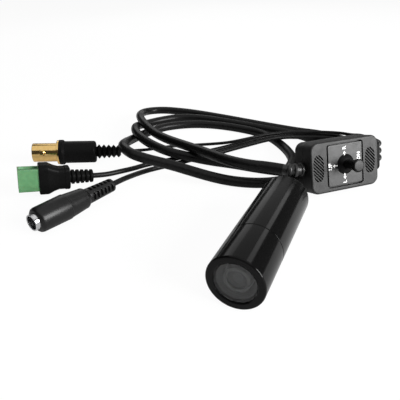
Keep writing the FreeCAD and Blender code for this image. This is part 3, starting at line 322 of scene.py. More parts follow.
def addPiece(name, grids, look, body, slotName, replaced=(), sharp=38.0, loop=True):
    # each grid of points closes round its columns, and round its rows where loop is true
    points, faces, start = [], [], 0
    for grid in grids:
        rows, columns = grid.shape[:2]
        index = np.arange(rows * columns).reshape(rows, columns) + start
        right = np.roll(index, -1, 1)
        quads = np.stack([index, right, np.roll(right, -1, 0), np.roll(index, -1, 0)], -1)
        quads = (quads if loop else quads[:-1]).reshape(-1, 4)
        flat = grid.reshape(-1, 3)
        at = flat[quads - start] - flat.mean(0)
        volume = (np.cross(at[:, 0], at[:, 1]) * at[:, 2]).sum()
        volume += (np.cross(at[:, 0], at[:, 2]) * at[:, 3]).sum()
        faces.append(quads if volume > 0 else quads[:, ::-1])
        points.append(flat)
        start += len(flat)
    mesh = bpy.data.meshes.new(name)
    mesh.from_pydata((np.concatenate(points) * mm).tolist(), [], np.concatenate(faces).tolist())
    smoothFaces(mesh, merge["made"], sharp)
    return dress(bpy.data.objects.new(name, mesh), look, body, replaced)


def addTurned(name, seat, look, slotName, node, corners, around=96, steps=8, dent=None, body=still, **edges):
    # one turned piece in its seat, in place of its node
    return addPiece(name, [inSeat(turned(corners, around, steps, dent), seat)], look, body, slotName, [node], **edges)


def paint(piece, look):
    piece.data.materials.clear()
    piece.data.materials.append(finish[look])


def dress(piece, look, body, replaced=()):
    linkObject(piece)
    paint(piece, look)
    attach(piece, body)
    if replaced:
        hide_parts(*replaced)
    return piece


def smoothCopy(name, node, look, body, sharp=32.0, bevel=0.0):
    # a merged copy of a node's own mesh with smooth curved faces and eased edges
    mesh = nodes[node].data.copy()
    mesh.name = name
    smoothFaces(mesh, merge["copied"], sharp, merge["flat"])
    piece = dress(bpy.data.objects.new(name, mesh), look, body, (node,))
    if bevel > 0:
        ease = piece.modifiers.new("easedEdges", "BEVEL")
        ease.width = bevel * mm
        ease.segments = 2
        ease.limit_method = "ANGLE"
        ease.angle_limit = math.radians(sharp)
    return piece


# Camera tube
tube = {"origin": (0, -30, 9.6), "r": 9.6, "joint": 19.2, "end": 60.0, "around": 192}
tubeSeat = seatOf(tube["origin"], (0, 1, 0), (0, 0, 1))
addTurned("frontBarrel", tubeSeat, "anodisedBlack", "black_anodised", "front_barrel", [
    (7.4, 0, 0.12), (tube["r"], 0, 0.7), (tube["r"], 18.95, 0.12), (9.35, tube["joint"], 0.05),
    (8.4, tube["joint"]), (8.4, 26.2), (7.5, 26.2), (7.5, 0.6), (7.0, 0.6, 0.04), (7.0, 0.3, 0.06),
], tube["around"], steps=12)
addTurned("rearBarrel", tubeSeat, "anodisedBlack", "black_anodised", "rear_barrel", [
    (9.35, tube["joint"], 0.05), (tube["r"], 19.45, 0.12), (tube["r"], tube["end"], 2.0), (3.25, tube["end"], 0.15),
    (3.25, 58.4), (8.45, 58.4), (8.45, tube["joint"]),
], tube["around"], steps=12)
addTurned("windowGlass", tubeSeat, "windowGlass", "clear_glass", "window_glass", [
    (0, 0.35), (6.95, 0.35, 0.08), (6.95, 0.92), (7.45, 0.92), (7.45, 2.1, 0.1), (0, 2.1),
], steps=5, sharp=30, loop=False)
addTurned("windowGasket", tubeSeat, "bootRubber", "black_rubber", "window_gasket", [
    (7.0, 0.6), (7.45, 0.6), (7.45, 0.9), (7.0, 0.9),
], steps=2)
sleeve = {"start": 3.7, "end": 15.6, "r": 7.45, "bore": 6.75, "groove": 0.15, "step": 0.45, "count": 26}
sleeveGrooves = [(sleeve["bore"] + sleeve["groove"] * (i % 2), sleeve["end"] - i * sleeve["step"])
                 for i in range(sleeve["count"])]
addTurned("baffleSleeve", tubeSeat, "insideBlack", "matte_black", "baffle_sleeve", [
    (sleeve["bore"], sleeve["start"]), (sleeve["r"], sleeve["start"]), (sleeve["r"], sleeve["end"]), *sleeveGrooves,
], steps=2, sharp=20)
addTurned("lensBarrel", tubeSeat, "lensBarrelBlack", "black_metal", "lens_barrel", [
    (3.25, 2.5, 0.1), (4.3, 2.5, 0.3), (4.3, 5.5, 0.15), (3.5, 5.5, 0.1), (3.5, 12.6, 0.1), (2.55, 12.6),
    (2.55, 11.8), (1.5, 11.8), (1.5, 4.0), (3.25, 4.0),
], steps=6)
# front lens: a cap of the ball that has the given radius and bulge, with a flat back
lensCap = {"r": 3.2, "bulge": 0.7, "start": 2.5, "edge": 4.0, "rows": 24}
capBall = (lensCap["r"] ** 2 + lensCap["bulge"] ** 2) / (2 * lensCap["bulge"])
capReach = np.linspace(0, lensCap["r"], lensCap["rows"])
capLine = list(zip(capReach, lensCap["start"] + capBall - np.sqrt(capBall ** 2 - capReach ** 2)))
addTurned("lensFront", tubeSeat, "lensGlass", "lens_glass", "lens_front", [
    *capLine, (lensCap["r"], lensCap["edge"]), (0, lensCap["edge"]),
], 72, steps=2, sharp=30, loop=False)
addTurned("cableGland", tubeSeat, "bootRubber", "black_rubber", "cable_gland", [
    (0, 57.4), (4.6, 57.4), (4.6, 58.4), (3.2, 58.4), (3.2, tube["end"]), (4.2, tube["end"], 0.1), (4.2, 61.4, 0.35),
    (3.4, 61.4, 0.2), (3.0, 64.5, 0.5), (0, 64.5),
], 72, steps=6, loop=False)
print("camera tube made")

# Controller box in its own frame: X across, Y up the front, Z out of the front
box = {"corner": (0.2, 53.8, 0.0), "heading": 45.3, "lean": 17.7, "wide": 36.1, "tall": 22.8, "cornerR": 3.8,
       "front": 12.5, "edgeR": 0.9, "faceInset": 0.94, "split": 6.27, "groove": 0.15, "wall": 1.5, "ceiling": 10.7,
       "leastR": 0.3, "stick": (17.95, 11.65), "pivot": 8.5, "arcSteps": 9}
pocket = {"size": (19.45, 19.7, 1.5), "ease": 0.04, "moat": 10.95, "floor": 11.5, "moatShare": 0.92, "hole": 5.62}
heading = math.radians(box["heading"])
lean = math.radians(box["lean"])
across = np.array([math.cos(heading), math.sin(heading), 0])
level = np.array([math.sin(heading), -math.cos(heading), 0])
outward = level * math.cos(lean) + np.array([0, 0, math.sin(lean)])
upFront = np.cross(outward, across)
boxSeat = seatOf(box["corner"], outward, upFront)
middle = np.array([box["wide"] / 2, box["tall"] / 2])
stickSpot = np.array(box["stick"])
grille = {"pitch": 1.08, "depth": 0.75, "ovals": ((3.89, 11.49, 2.68, 5.75), (31.43, 11.68, 2.7, 5.71)),
          "runs": (18, 150), "rows": 84, "waveFrom": 0.30, "waveSpan": 0.28, "squareness": 2.6, "rimAt": 1.02,
          "rimSoft": 0.06}


def grooves(x, y):
    # diagonal waves of the given pitch, held inside the two ovals by a soft-edged mask
    wave = 0.5 + 0.5 * np.cos(2 * math.pi * (x + y) / math.sqrt(2) / grille["pitch"])
    cut = np.clip((wave - grille["waveFrom"]) / grille["waveSpan"], 0, 1)
    cut = cut * cut * (3 - 2 * cut)
    inside = np.zeros_like(x)
    bow = grille["squareness"]
    for cx, cy, rx, ry in grille["ovals"]:
        reach = ((np.abs(x - cx) / rx) ** bow + (np.abs(y - cy) / ry) ** bow) ** (1 / bow)
        inside = np.maximum(inside, np.clip((grille["rimAt"] - reach) / grille["rimSoft"], 0, 1))
    return grille["depth"] * cut * inside


def boxRings(insets, stations, runs):
    # the box outline stepped inwards, each ring at its station
    insets = np.asarray(insets, float)
    rings = pillowRings(box["wide"] - 2 * insets, box["tall"] - 2 * insets,
                        np.maximum(box["cornerR"] - insets, box["leastR"]), box["arcSteps"], runs)
    return withHeight(rings + middle, stations)


def circleFacing(ring):
    # a unit circle with one point towards each of the ring's points, as the stick sees them
    angle = np.arctan2(ring[:, 1] - stickSpot[1], ring[:, 0] - stickSpot[0])
    return np.column_stack([np.cos(angle), np.sin(angle)])


sideLine = softLine([
    (box["groove"], box["split"]), (0, box["split"] + box["groove"]), (0, box["front"], box["edgeR"]),
    (box["faceInset"], box["front"]),
], 10)
sideRings = boxRings(sideLine[:, 0], sideLine[:, 1], grille["runs"])
pocketRing = pillowRings(*pocket["size"], box["arcSteps"], grille["runs"])[0] + stickSpot
faceShare = np.linspace(0, 1, grille["rows"])[1:, None, None]
faceRings = sideRings[-1, :, :2] + (pocketRing - sideRings[-1, :, :2]) * faceShare
faceRings = withHeight(faceRings, box["front"] - grooves(faceRings[..., 0], faceRings[..., 1]))
holeRing = stickSpot + pocket["hole"] * circleFacing(pocketRing)
insideRings = boxRings([box["wall"], box["wall"]], [box["ceiling"], box["split"]], grille["runs"])
moatRing = stickSpot + (pocketRing - stickSpot) * pocket["moatShare"]
pocketWall = withHeight(np.stack([pocketRing, pocketRing, moatRing, moatRing, holeRing, holeRing]), [
    box["front"] - pocket["ease"], pocket["moat"], pocket["moat"], pocket["floor"], pocket["floor"], box["ceiling"],
])
frontShell = np.concatenate([sideRings, faceRings, pocketWall, insideRings])
addPiece("controllerFront", [inSeat(frontShell, boxSeat)], "boxPlastic", still, "box_black", ["controller_front"],
         sharp=42)
smoothCopy("controllerRear", "controller_rear", "boxPlastic", still)

# Face plate: a rounded slab in the pocket, its face rings running into a hole with an eased rim
plate = {"wide": 18.45, "tall": 18.7, "cornerR": 1.0, "inset": 0.18, "edgeR": 0.14, "band": 0.6, "runs": (24, 24),
         "faceRows": 15, "holeR": (4.5, 4.47, 4.57, 5.06), "holeAt": (12.42, 12.3, 11.5)}
plateLine = softLine([
    (plate["inset"], pocket["floor"]), (plate["inset"], box["front"], plate["edgeR"]),
    (plate["inset"] + plate["band"], box["front"]),
], 6)
plateRings = pillowRings(plate["wide"] - 2 * plateLine[:, 0], plate["tall"] - 2 * plateLine[:, 0],
                         plate["cornerR"] - plateLine[:, 0], box["arcSteps"], plate["runs"]) + stickSpot
plateCircle = circleFacing(plateRings[-1])
holeRadius = np.array(plate["holeR"])
plateShare = np.linspace(0, 1, plate["faceRows"] + 1)[1:, None, None]
plateFace = plateRings[-1] + (stickSpot + holeRadius[0] * plateCircle - plateRings[-1]) * plateShare
plateHole = stickSpot + holeRadius[1:, None, None] * plateCircle
controllerPlate = np.concatenate([
    withHeight(plateRings, plateLine[:, 1]), withHeight(plateFace, np.full(plate["faceRows"], box["front"])),
    withHeight(plateHole, plate["holeAt"]),
])
addPiece("controllerPlate", [inSeat(controllerPlate, boxSeat)], "plateBlack", still, "box_black",
         ["controller_plate"], sharp=40)

# Joystick: a dome and a flared stick, turned about the box's outward axis through the pivot
pivot = inSeat(np.array([*box["stick"], box["pivot"]]), boxSeat)
stickSeat = seatOf(pivot, outward, upFront)
stick = {"top": 12.9, "rim": 2.9, "rimR": 0.6, "rimTall": 1.0, "waist": 2.2, "foot": 2.27, "dome": 5.75, "wall": 0.7,
         "open": 70.0, "face": 2.25, "faceSunk": 0.1, "bore": 0.75, "boreTop": 9.75, "boreAngle": 0.15,
         "flareRows": 28, "domeRows": 40, "insideRows": 24}
footAngle = math.asin(stick["foot"] / stick["dome"])
flareLow = stick["dome"] * math.cos(footAngle)
flareHigh = stick["top"] - stick["rimTall"]
rise = np.linspace(0, 1, stick["flareRows"])
flareOut = np.where(rise < 0.5, stick["foot"] - stick["waist"], stick["rim"] - stick["waist"])
flareR = stick["waist"] + flareOut * (2 * rise - 1) ** 2
domeAngle = np.linspace(footAngle, math.radians(stick["open"]), stick["domeRows"])
inAngle = np.linspace(math.radians(stick["open"]), stick["boreAngle"], stick["insideRows"])
domeIn = stick["dome"] - stick["wall"]
faceLow = stick["top"] - stick["faceSunk"]
stickLine = [(0, faceLow), (stick["face"], faceLow), (stick["face"], stick["top"]),
             (stick["rim"], stick["top"], stick["rimR"])]
stickLine += list(zip(flareR[::-1], flareLow + (flareHigh - flareLow) * rise[::-1]))
stickLine += list(zip(stick["dome"] * np.sin(domeAngle), stick["dome"] * np.cos(domeAngle)))
stickLine += list(zip(domeIn * np.sin(inAngle), domeIn * np.cos(inAngle)))
stickLine += [(stick["bore"], stick["boreTop"]), (0, stick["boreTop"])]
addTurned("stickKnob", stickSeat, "stickBlack", "stick_black", "stick_knob", stickLine, steps=4, body="joystick",
          sharp=50, loop=False)
# A thin cap on the stick's end face, glossier and lighter than the stick: the gloss catches the key, and the lighter
# tone is painted sheen
sheenCap = {"gap": 0.02, "low": -0.15, "rim": 0.02, "dish": -0.03, "edgeR": 0.05}
sheenCapR, sheenCapLow = stick["face"] - sheenCap["gap"], stick["top"] + sheenCap["low"]
stickFace = turned([
    (0, sheenCapLow), (sheenCapR, sheenCapLow), (sheenCapR, stick["top"] + sheenCap["rim"], sheenCap["edgeR"]),
    (0, stick["top"] + sheenCap["dish"]),
], 64, steps=4)
addPiece("stickFace", [inSeat(stickFace, stickSeat)], "stickTopSheen", "joystick", "stick_black",
         sharp=50, loop=False)


# White direction marks, turned a quarter as on the photo, printed on the plate
ink = {"lift": 0.01, "half": 0.02, "bold": 0.035}
inkHeight = box["front"] + ink["lift"]
arrow = {"half": 0.85, "head": 1.05, "shaft": 0.26, "long": 2.5}


def flatMark(name, text, size, spot):
    letters = bpy.data.curves.new(name, "FONT")
    letters.body = text
    letters.size = size
    letters.align_x = "CENTER"
    letters.align_y = "CENTER"
    letters.offset = ink["bold"] * size
    letters.extrude = ink["half"]
    letters.resolution_u = 4
    holder = bpy.data.objects.new(name, letters)
    linkObject(holder)
    bpy.context.view_layer.update()
    mesh = bpy.data.meshes.new_from_object(holder.evaluated_get(bpy.context.evaluated_depsgraph_get()))
    bpy.data.objects.remove(holder)
    flat = np.empty(len(mesh.vertices) * 3)
    mesh.vertices.foreach_get("co", flat)
    flat = flat.reshape(-1, 3)
    placed = np.column_stack([spot[0] - flat[:, 1], spot[1] + flat[:, 0], inkHeight + flat[:, 2]])
    mesh.vertices.foreach_set("co", (inSeat(placed, boxSeat) * mm).ravel())
    mesh.name = name
    mesh.update()
    return dress(bpy.data.objects.new(name, mesh), "paintWhite", still)


def arrowMark(name, tip, turn):
    # a seven-point arrow in the plate's plane, pointing up the plate before its turn, given a thin body
    half, head, shaft, long = arrow["half"], -arrow["head"], arrow["shaft"], -arrow["long"]
    outline = np.array([
        (0, 0), (-half, head), (-shaft, head), (-shaft, long), (shaft, long), (shaft, head), (half, head),
    ])
    cosTurn, sinTurn = math.cos(math.radians(turn)), math.sin(math.radians(turn))
    outline = outline @ np.array([[cosTurn, sinTurn], [-sinTurn, cosTurn]]) + np.array(tip)
    count = len(outline)
    low = np.column_stack([outline, np.full(count, inkHeight - ink["half"])])
    high = np.column_stack([outline, np.full(count, inkHeight + ink["half"])])
    index = np.arange(count)
    following = np.roll(index, -1)
    walls = np.column_stack([index, following, following + count, index + count]).tolist()
    mesh = bpy.data.meshes.new(name)
    mesh.from_pydata((inSeat(np.concatenate([low, high]), boxSeat) * mm).tolist(), [],
                     walls + [(index + count).tolist(), index[::-1].tolist()])
    return dress(bpy.data.objects.new(name, mesh), "paintWhite", still)


words = {
    "markUp": ("UP", 2.5, (9.96, 11.48)), "markDown": ("DN", 2.35, (25.15, 14.5)),
    "markRight": ("R", 2.4, (17.55, 18.93)), "markLeft": ("L", 2.4, (17.58, 3.77)),
}
arrows = {
    "arrowUp": ((11.22, 11.5), 90), "arrowDown": ((24.3, 11.6), -90),
    "arrowRight": ((17.56, 17.5), 0), "arrowLeft": ((17.45, 5.0), 180),
}
for name, mark in words.items():
    flatMark(name, *mark)
for name, mark in arrows.items():
    arrowMark(name, *mark)
print("controller made")

# Left strain relief: rings on a core that bends towards the cord
boot = {"at": (0, 11.4, 6.25), "bendStart": 1.5, "bendR": 10.0, "turn": 45.0, "neckR": 2.3, "neckEnd": -2.1,
        "coreR": 2.45, "coreStart": 0.05, "ringR": 3.05, "ringStart": 0.4, "ringStep": 2.7, "ringLong": 1.5,
        "rings": 3, "soft": 0.12, "ringSoft": 0.4, "endSoft": 0.2}
bootRoot = inSeat(np.array(boot["at"]), boxSeat)
bendStart, bendR = boot["bendStart"], boot["bendR"]
neckR, neckEnd, coreR, ringR = [boot[key] for key in ("neckR", "neckEnd", "coreR", "ringR")]
swing = np.array([-across[1], across[0], 0])
bootEnd = bendStart + bendR * math.radians(boot["turn"])
bootLine = [(0, neckEnd), (neckR, neckEnd), (neckR, boot["coreStart"]), (coreR, boot["coreStart"])]
for i in range(boot["rings"]):
    ringAt = boot["ringStart"] + boot["ringStep"] * i
    ringEnd = ringAt + boot["ringLong"]
    bootLine += [(coreR, ringAt, boot["soft"]), (ringR, ringAt, boot["ringSoft"]),
                 (ringR, ringEnd, boot["ringSoft"]), (coreR, ringEnd, boot["soft"])]
bootLine += [(coreR, bootEnd, boot["endSoft"]), (0, bootEnd)]
bootProfile = softLine(bootLine, 6)
# centre of each station: straight to the bend's start, then round an arc that swings off the box's axis
bend = np.maximum(bootProfile[:, 1] - bendStart, 0)[:, None] / bendR
run = np.minimum(bootProfile[:, 1], bendStart)[:, None]
bootCentre = bootRoot - across * (run + bendR * np.sin(bend))
bootCentre = bootCentre + swing * bendR * (1 - np.cos(bend))
bootTangent = -across * np.cos(bend) + swing * np.sin(bend)
bootSide = np.tile([0.0, 0.0, 1.0], (len(bootCentre), 1))
leftRelief = swept(bootCentre, bootTangent, bootSide, bootProfile[:, 0], 64)
addPiece("leftRelief", [leftRelief], "reliefRubber", still, "black_rubber", ["left_boot"], loop=False)

# Right strain relief: a soft-edged pad on a neck, and three bent outlets
pad = {"at": (36.1, 12.3, 6.25), "size": (13.8, 6.4, 2.4), "top": 4.2, "soft": 0.9, "reach": 3.2,
       "neck": (7.5, 3.5, 1.7), "neckEnd": -2.1, "gap": 0.02, "arcSteps": 9, "runs": (24, 6)}
outlet = {"rows": (10.4, 13.8, 17.2), "root": 0.3, "out": 6.8, "tangent": 2.3, "r": 1.55, "ease": 0.3, "bendRows": 16}
padSeat = (inSeat(np.array(pad["at"]), boxSeat), np.column_stack([upFront, outward, across]))
padLine = softLine([
    (0, pad["gap"]), (0, pad["top"], pad["soft"]), (pad["reach"], pad["top"]),
], 10)
padInset = padLine[:, 0]
neckWide, neckTall, neckCorner = pad["neck"]
padWide = np.concatenate([[0, neckWide, neckWide], pad["size"][0] - 2 * padInset])
padTall = np.concatenate([[0, neckTall, neckTall], pad["size"][1] - 2 * padInset])
padCorner = np.concatenate([[0, neckCorner, neckCorner], np.maximum(pad["size"][2] - padInset, 0)])
padHeight = np.concatenate([[pad["neckEnd"], pad["neckEnd"], pad["gap"]], padLine[:, 1]])
padRings = pillowRings(padWide, padTall, padCorner, pad["arcSteps"], pad["runs"])
reliefPad = inSeat(withHeight(padRings, padHeight), padSeat)
outletGrids = []
share = np.linspace(0, 1, outlet["bendRows"])[:, None]
padAt, padDepth = pad["at"][0], pad["at"][2]
for cordEnd, row in zip(np.array([powerRoute[0], dataRoute[0], videoRoute[0]]), outlet["rows"]):
    # each outlet: out along the box, a quadratic bend about its knee, then straight to the cord's first point
    root = inSeat(np.array([padAt + outlet["root"], row, padDepth]), boxSeat)
    knee = inSeat(np.array([padAt + outlet["out"], row, padDepth]), boxSeat)
    ahead = (cordEnd - knee) / np.linalg.norm(cordEnd - knee)
    bendIn = knee - across * outlet["tangent"]
    bendOut = knee + ahead * outlet["tangent"]
    arc = (1 - share) ** 2 * bendIn + 2 * share * (1 - share) * knee + share ** 2 * bendOut
    arcTangent = (1 - share) * across + share * ahead
    nearEnd = cordEnd - ahead * outlet["ease"]
    outletPath = np.concatenate([[root, root], arc, [nearEnd, cordEnd, cordEnd]])
    outletTangent = np.concatenate([[across, across], arcTangent, [ahead, ahead, ahead]])
    outletR = np.full(len(outletPath), outlet["r"])
    outletR[[0, -1]] = 0.0
    outletR[-2] -= outlet["ease"]
    outletSide = np.tile(outward, (len(outletPath), 1))
    outletGrids.append(swept(outletPath, outletTangent, outletSide, outletR, 40))
addPiece("rightRelief", [reliefPad], "bootRubber", still, "black_rubber", ["right_boot"], sharp=40, loop=False)
addPiece("reliefOutlets", outletGrids, "reliefRubber", still, "black_rubber", sharp=40, loop=False)
print("strain reliefs made")


def plugSeat(plug):
    # level seat that runs from a plug's mouth to its tail
    return seatOf(plug["mouth"], np.subtract(plug["tail"], plug["mouth"]), (0, 0, 1))


# Bayonet video jack
bayonet = {"mouth": (-132.7, 26.8, 7.15), "tail": (-95.3, 51.6, 5.2), "lugAngle": 71.0, "lugStation": 5.0,
           "shoulder": 13.3, "shankR": 3.9, "shankEnd": 19.3, "pinR": 0.7, "pinEnd": 16.5}
bayonetSeat = plugSeat(bayonet)
shoulder, shankR, shankEnd = bayonet["shoulder"], bayonet["shankR"], bayonet["shankEnd"]
pinR, pinEnd = bayonet["pinR"], bayonet["pinEnd"]
addTurned("bayonetShell", bayonetSeat, "bayonetGold", "plug_gold", "bnc_shell", [
    (4.05, 0, 0.2), (4.825, 0, 0.3), (4.825, 12.3, 0.12), (6.3, 12.3, 0.18), (6.3, shoulder), (shankR, shoulder),
    (shankR, shankEnd), (1.1, shankEnd), (1.1, 9.5), (4.05, 9.5, 0.2),
], 128, steps=7)
lugGrids = []
for half in (0, 180):
    lugTurn = math.radians(bayonet["lugAngle"] + half)
    lugOut = bayonetSeat[1] @ np.array([-math.sin(lugTurn), math.cos(lugTurn), 0])
    lugAt = inSeat(np.array([0, 0, bayonet["lugStation"]]), bayonetSeat)
    lug = turned([
        (0, 4.4), (1.75, 4.4), (1.75, 4.95, 0.12), (1.3, 5.05, 0.1), (1.3, 5.75, 0.3), (0, 5.75),
    ], 48, steps=7)
    lugGrids.append(inSeat(lug, seatOf(lugAt, lugOut, bayonetSeat[1][:, 2])))
addPiece("bayonetLugs", lugGrids, "bayonetGold", still, "plug_gold", loop=False)
addTurned("bayonetInsulator", bayonetSeat, "insulatorWhite", "socket_white", "bnc_insulator", [
    (0.75, 1.8), (2.4, 1.8, 0.25), (2.4, 5.5, 0.1), (4.0, 5.5), (4.0, 9.5), (0.75, 9.5),
], 72, steps=5)
addTurned("bayonetContact", bayonetSeat, "bayonetGold", "plug_gold", "bnc_contact", [
    (0.42, 2.4, 0.06), (pinR, 2.4, 0.12), (pinR, pinEnd), (0, pinEnd), (0, 9.5), (0.42, 9.5),
], 40, steps=4)
relief = {"start": 32.3, "end": 44.92, "ribs": 5, "crest": (3.9, 3.3), "valley": (2.4, 2.1), "crestR": 0.18,
          "valleyR": 0.12}
ribPitch = (relief["end"] - relief["start"]) / relief["ribs"]
bayonetLine = [(shankR, shoulder), (6.5, shoulder, 0.15), (6.5, 15.3, 0.35), (5.75, 16.1, 0.35), (5.75, 32, 1.2),
               (3.0, 32, 0.2)]
for i in range(relief["ribs"]):
    share = i / relief["ribs"]
    crest = relief["crest"][0] + (relief["crest"][1] - relief["crest"][0]) * share
    valley = relief["valley"][0] + (relief["valley"][1] - relief["valley"][0]) * share
    near = relief["start"] + i * ribPitch
    bayonetLine += [(valley, near, relief["valleyR"]), (crest, near + ribPitch / 2, relief["crestR"])]
bayonetLine += [(relief["valley"][1], relief["end"], 0.1), (0, relief["end"]), (0, pinEnd), (pinR, pinEnd),
                (pinR, shankEnd), (shankR, shankEnd)]
addTurned("bayonetBody", bayonetSeat, "plugBlack", "plug_black", "bnc_body", bayonetLine, steps=6)

# Terminal plug: green shroud in a waisted hood with a ribbed tail
terminal = {"mouth": (-112.4, -3.2, 8.9), "tail": (-90.8, 21.1, 4.7), "roll": -8.0, "hoodStart": 8.7,
            "pocket": (7.5, 10.2, 0.4), "pocketEnd": 11.3, "arcSteps": 12, "runs": (6, 6), "ease": 0.18}
terminalLevel = plugSeat(terminal)
roll = math.radians(terminal["roll"])
rollMatrix = np.array([[math.cos(roll), -math.sin(roll), 0], [math.sin(roll), math.cos(roll), 0], [0, 0, 1]])
terminalSeat = (terminalLevel[0], terminalLevel[1] @ rollMatrix)
tail = {"start": 22.2, "end": 32.78, "ribs": 5, "crest": 3.4, "valley": 2.7, "taper": 0.4, "valleyEnd": 0.28,
        "crestStart": 0.34, "crestR": 0.4, "valleyR": 0.15, "gap": 0.05}
hoodLine = [(5.12, terminal["hoodStart"]), (6.95, terminal["hoodStart"], 0.5), (6.95, 12.6, 1.2), (5.75, 15.0, 2.5),
            (5.05, 17.2, 1.5), (5.05, 19.7, 0.2), (5.25, 20.0, 0.2), (5.25, 22.15, 0.7), (3.3, tail["start"], 0.2)]
tailPitch = (tail["end"] - tail["start"]) / tail["ribs"]
for i in range(tail["ribs"]):
    slim = tail["taper"] * i / tail["ribs"]
    valley, crest = tail["valley"] - slim, tail["crest"] - slim
    near = tail["start"] + i * tailPitch
    hoodLine += [(valley, near + tail["gap"], tail["valleyR"]),
                 (valley, near + tailPitch * tail["valleyEnd"], tail["valleyR"]),
                 (crest, near + tailPitch * tail["crestStart"], tail["crestR"]),
                 (crest, near + tailPitch, tail["crestR"])]
hoodLine += [(1.2, tail["end"]), (0, tail["end"])]
hoodProfile = softLine(hoodLine, 7)
# the hood's section goes from a rounded oblong to a circle as its half height shrinks
hood = {"wideAt": (0, 3.4, 5.05, 5.8, 6.95), "halfWide": (0, 3.4, 3.8, 4.05, 4.5), "cornerAt": (0, 3.4, 5.05, 6.95),
        "corner": (0, 3.4, 2.0, 2.2)}
halfTall = hoodProfile[:, 0]
hoodWide = 2 * np.interp(halfTall, hood["wideAt"], hood["halfWide"])
hoodCorner = np.minimum(np.interp(halfTall, hood["cornerAt"], hood["corner"]), halfTall)
hoodRings = pillowRings(hoodWide, 2 * halfTall, hoodCorner, terminal["arcSteps"], terminal["runs"])
pocketSizes = [np.array([0, size, size]) for size in terminal["pocket"]]
pocketRings = pillowRings(*pocketSizes, terminal["arcSteps"], terminal["runs"])
pocketStations = [terminal["pocketEnd"], terminal["pocketEnd"], terminal["hoodStart"]]
terminalHood = np.concatenate([withHeight(pocketRings, pocketStations), withHeight(hoodRings, hoodProfile[:, 1])])
addPiece("terminalHood", [inSeat(terminalHood, terminalSeat)], "plugBlack", still, "plug_black", ["plug_hood"],
         sharp=45, loop=False)
smoothCopy("terminalShroud", "plug_block", "terminalGreen", still, bevel=terminal["ease"])

# Power jack: satin body with a lattice relief
power = {"mouth": (-84.4, -24.6, 5.56), "tail": (-75.7, 15.4, 5.56), "end": 40.94, "boreR": 3.4, "boreEnd": 13.0,
         "pinR": 1.05, "pinEnd": 15.0, "sleeveBore": 2.85, "insulatorStart": 9.0}
lattice = {"start": 27.4, "end": 39.8, "slots": 6, "depth": 1.1, "turn": 40.0, "halfLong": 0.32, "longSoft": 0.08,
           "halfArc": 0.56, "arcSoft": 0.1, "coreR": 1.5, "from": 27.2, "span": 13.0, "r": 3.45, "taper": 0.4,
           "rows": 150}
grip = {"start": 16.6, "step": 0.36, "r": 5.25, "taper": 0.62, "depth": 0.07, "rings": 20}
powerSeat = plugSeat(power)
boreR, boreEnd, pinR, pinEnd = [power[key] for key in ("boreR", "boreEnd", "pinR", "pinEnd")]


def latticeDent(radius, station, angle):
    # rows of slots, four to a row, with bars between them: deep where row and arc masks both hold
    share = (station - lattice["start"]) / (lattice["end"] - lattice["start"]) * lattice["slots"]
    offMiddle = np.abs(share - np.floor(share) - 0.5)
    inRow = np.clip((lattice["halfLong"] - offMiddle) / lattice["longSoft"], 0, 1)
    offSpoke = np.abs(np.mod(angle - math.radians(lattice["turn"]), math.pi / 2) - math.pi / 4)
    inArc = np.clip((lattice["halfArc"] - offSpoke) / lattice["arcSoft"], 0, 1)
    inside = (share > 0) & (share < lattice["slots"]) & (radius > lattice["coreR"])
    return lattice["depth"] * inRow * inArc * inside


slotRows = [(lattice["r"] - lattice["taper"] * share, lattice["from"] + lattice["span"] * share)
            for share in np.linspace(0, 1, lattice["rows"] + 1)]
gripRings = [(grip["r"] - grip["taper"] * i / grip["rings"] - grip["depth"] * (i % 2),
              grip["start"] + grip["step"] * i) for i in range(grip["rings"])]
addTurned("powerBody", powerSeat, "jackBlack", "plug_black", "dc_body", [
    (boreR, 1.8), (5.2, 1.8, 1.5), (5.5, 15.7, 0.2), (grip["r"], 16.0, 0.1), *gripRings, (4.6, 24.9, 1.1),
    (3.4, 26.6, 0.5), *slotRows, (3.05, power["end"], 0.6), (0, power["end"]), (0, pinEnd), (pinR, pinEnd),
    (pinR, boreEnd), (boreR, boreEnd),
], 128, steps=4, dent=latticeDent, sharp=45)
addTurned("powerSleeve", powerSeat, "sleeveSteel", "steel_parts", "dc_sleeve", [
    (power["sleeveBore"], 0, 0.15), (boreR, 0, 0.15), (boreR, boreEnd), (power["sleeveBore"], boreEnd),
], steps=6)
addTurned("powerInsulator", powerSeat, "insideBlack", "matte_black", "dc_insulator", [
    (pinR, power["insulatorStart"]), (power["sleeveBore"], power["insulatorStart"]),
    (power["sleeveBore"], boreEnd), (pinR, boreEnd),
], 64, steps=2)
# The centre pin takes the very dark steel, which is painted shade inside the jack's bore
addTurned("powerPin", powerSeat, "shadedPinSteel", "steel_parts", "dc_pin", [
    (0, 2.2), (pinR, 2.2, 0.5), (pinR, pinEnd), (0, pinEnd),
], 48, steps=6, loop=False)
print("plugs made")

# CAD nodes that stay as they are, with their finishes
kept = {
    "insideBlack": ["window_ring", "lens_holder", "carrier_ring"],
    "bootRubber": ["barrel_seal"],
    "lensGlass": ["lens_rear"],
    "sensorGrey": ["image_sensor"],
    "boardGreen": ["sensor_board", "signal_board", "controller_board"],
    "postBrass": ["board_posts"],
    "sleeveSteel": ["board_screws", "controller_screws", "stick_ring", "stick_block", "stick_shaft", "press_dome",
                    "plug_pins"],
    "insulatorWhite": ["wire_socket"],
    "stickBlack": ["stick_cradle"],
}
for look, names in kept.items():
    for name in names:
        paint(nodes[name], look)

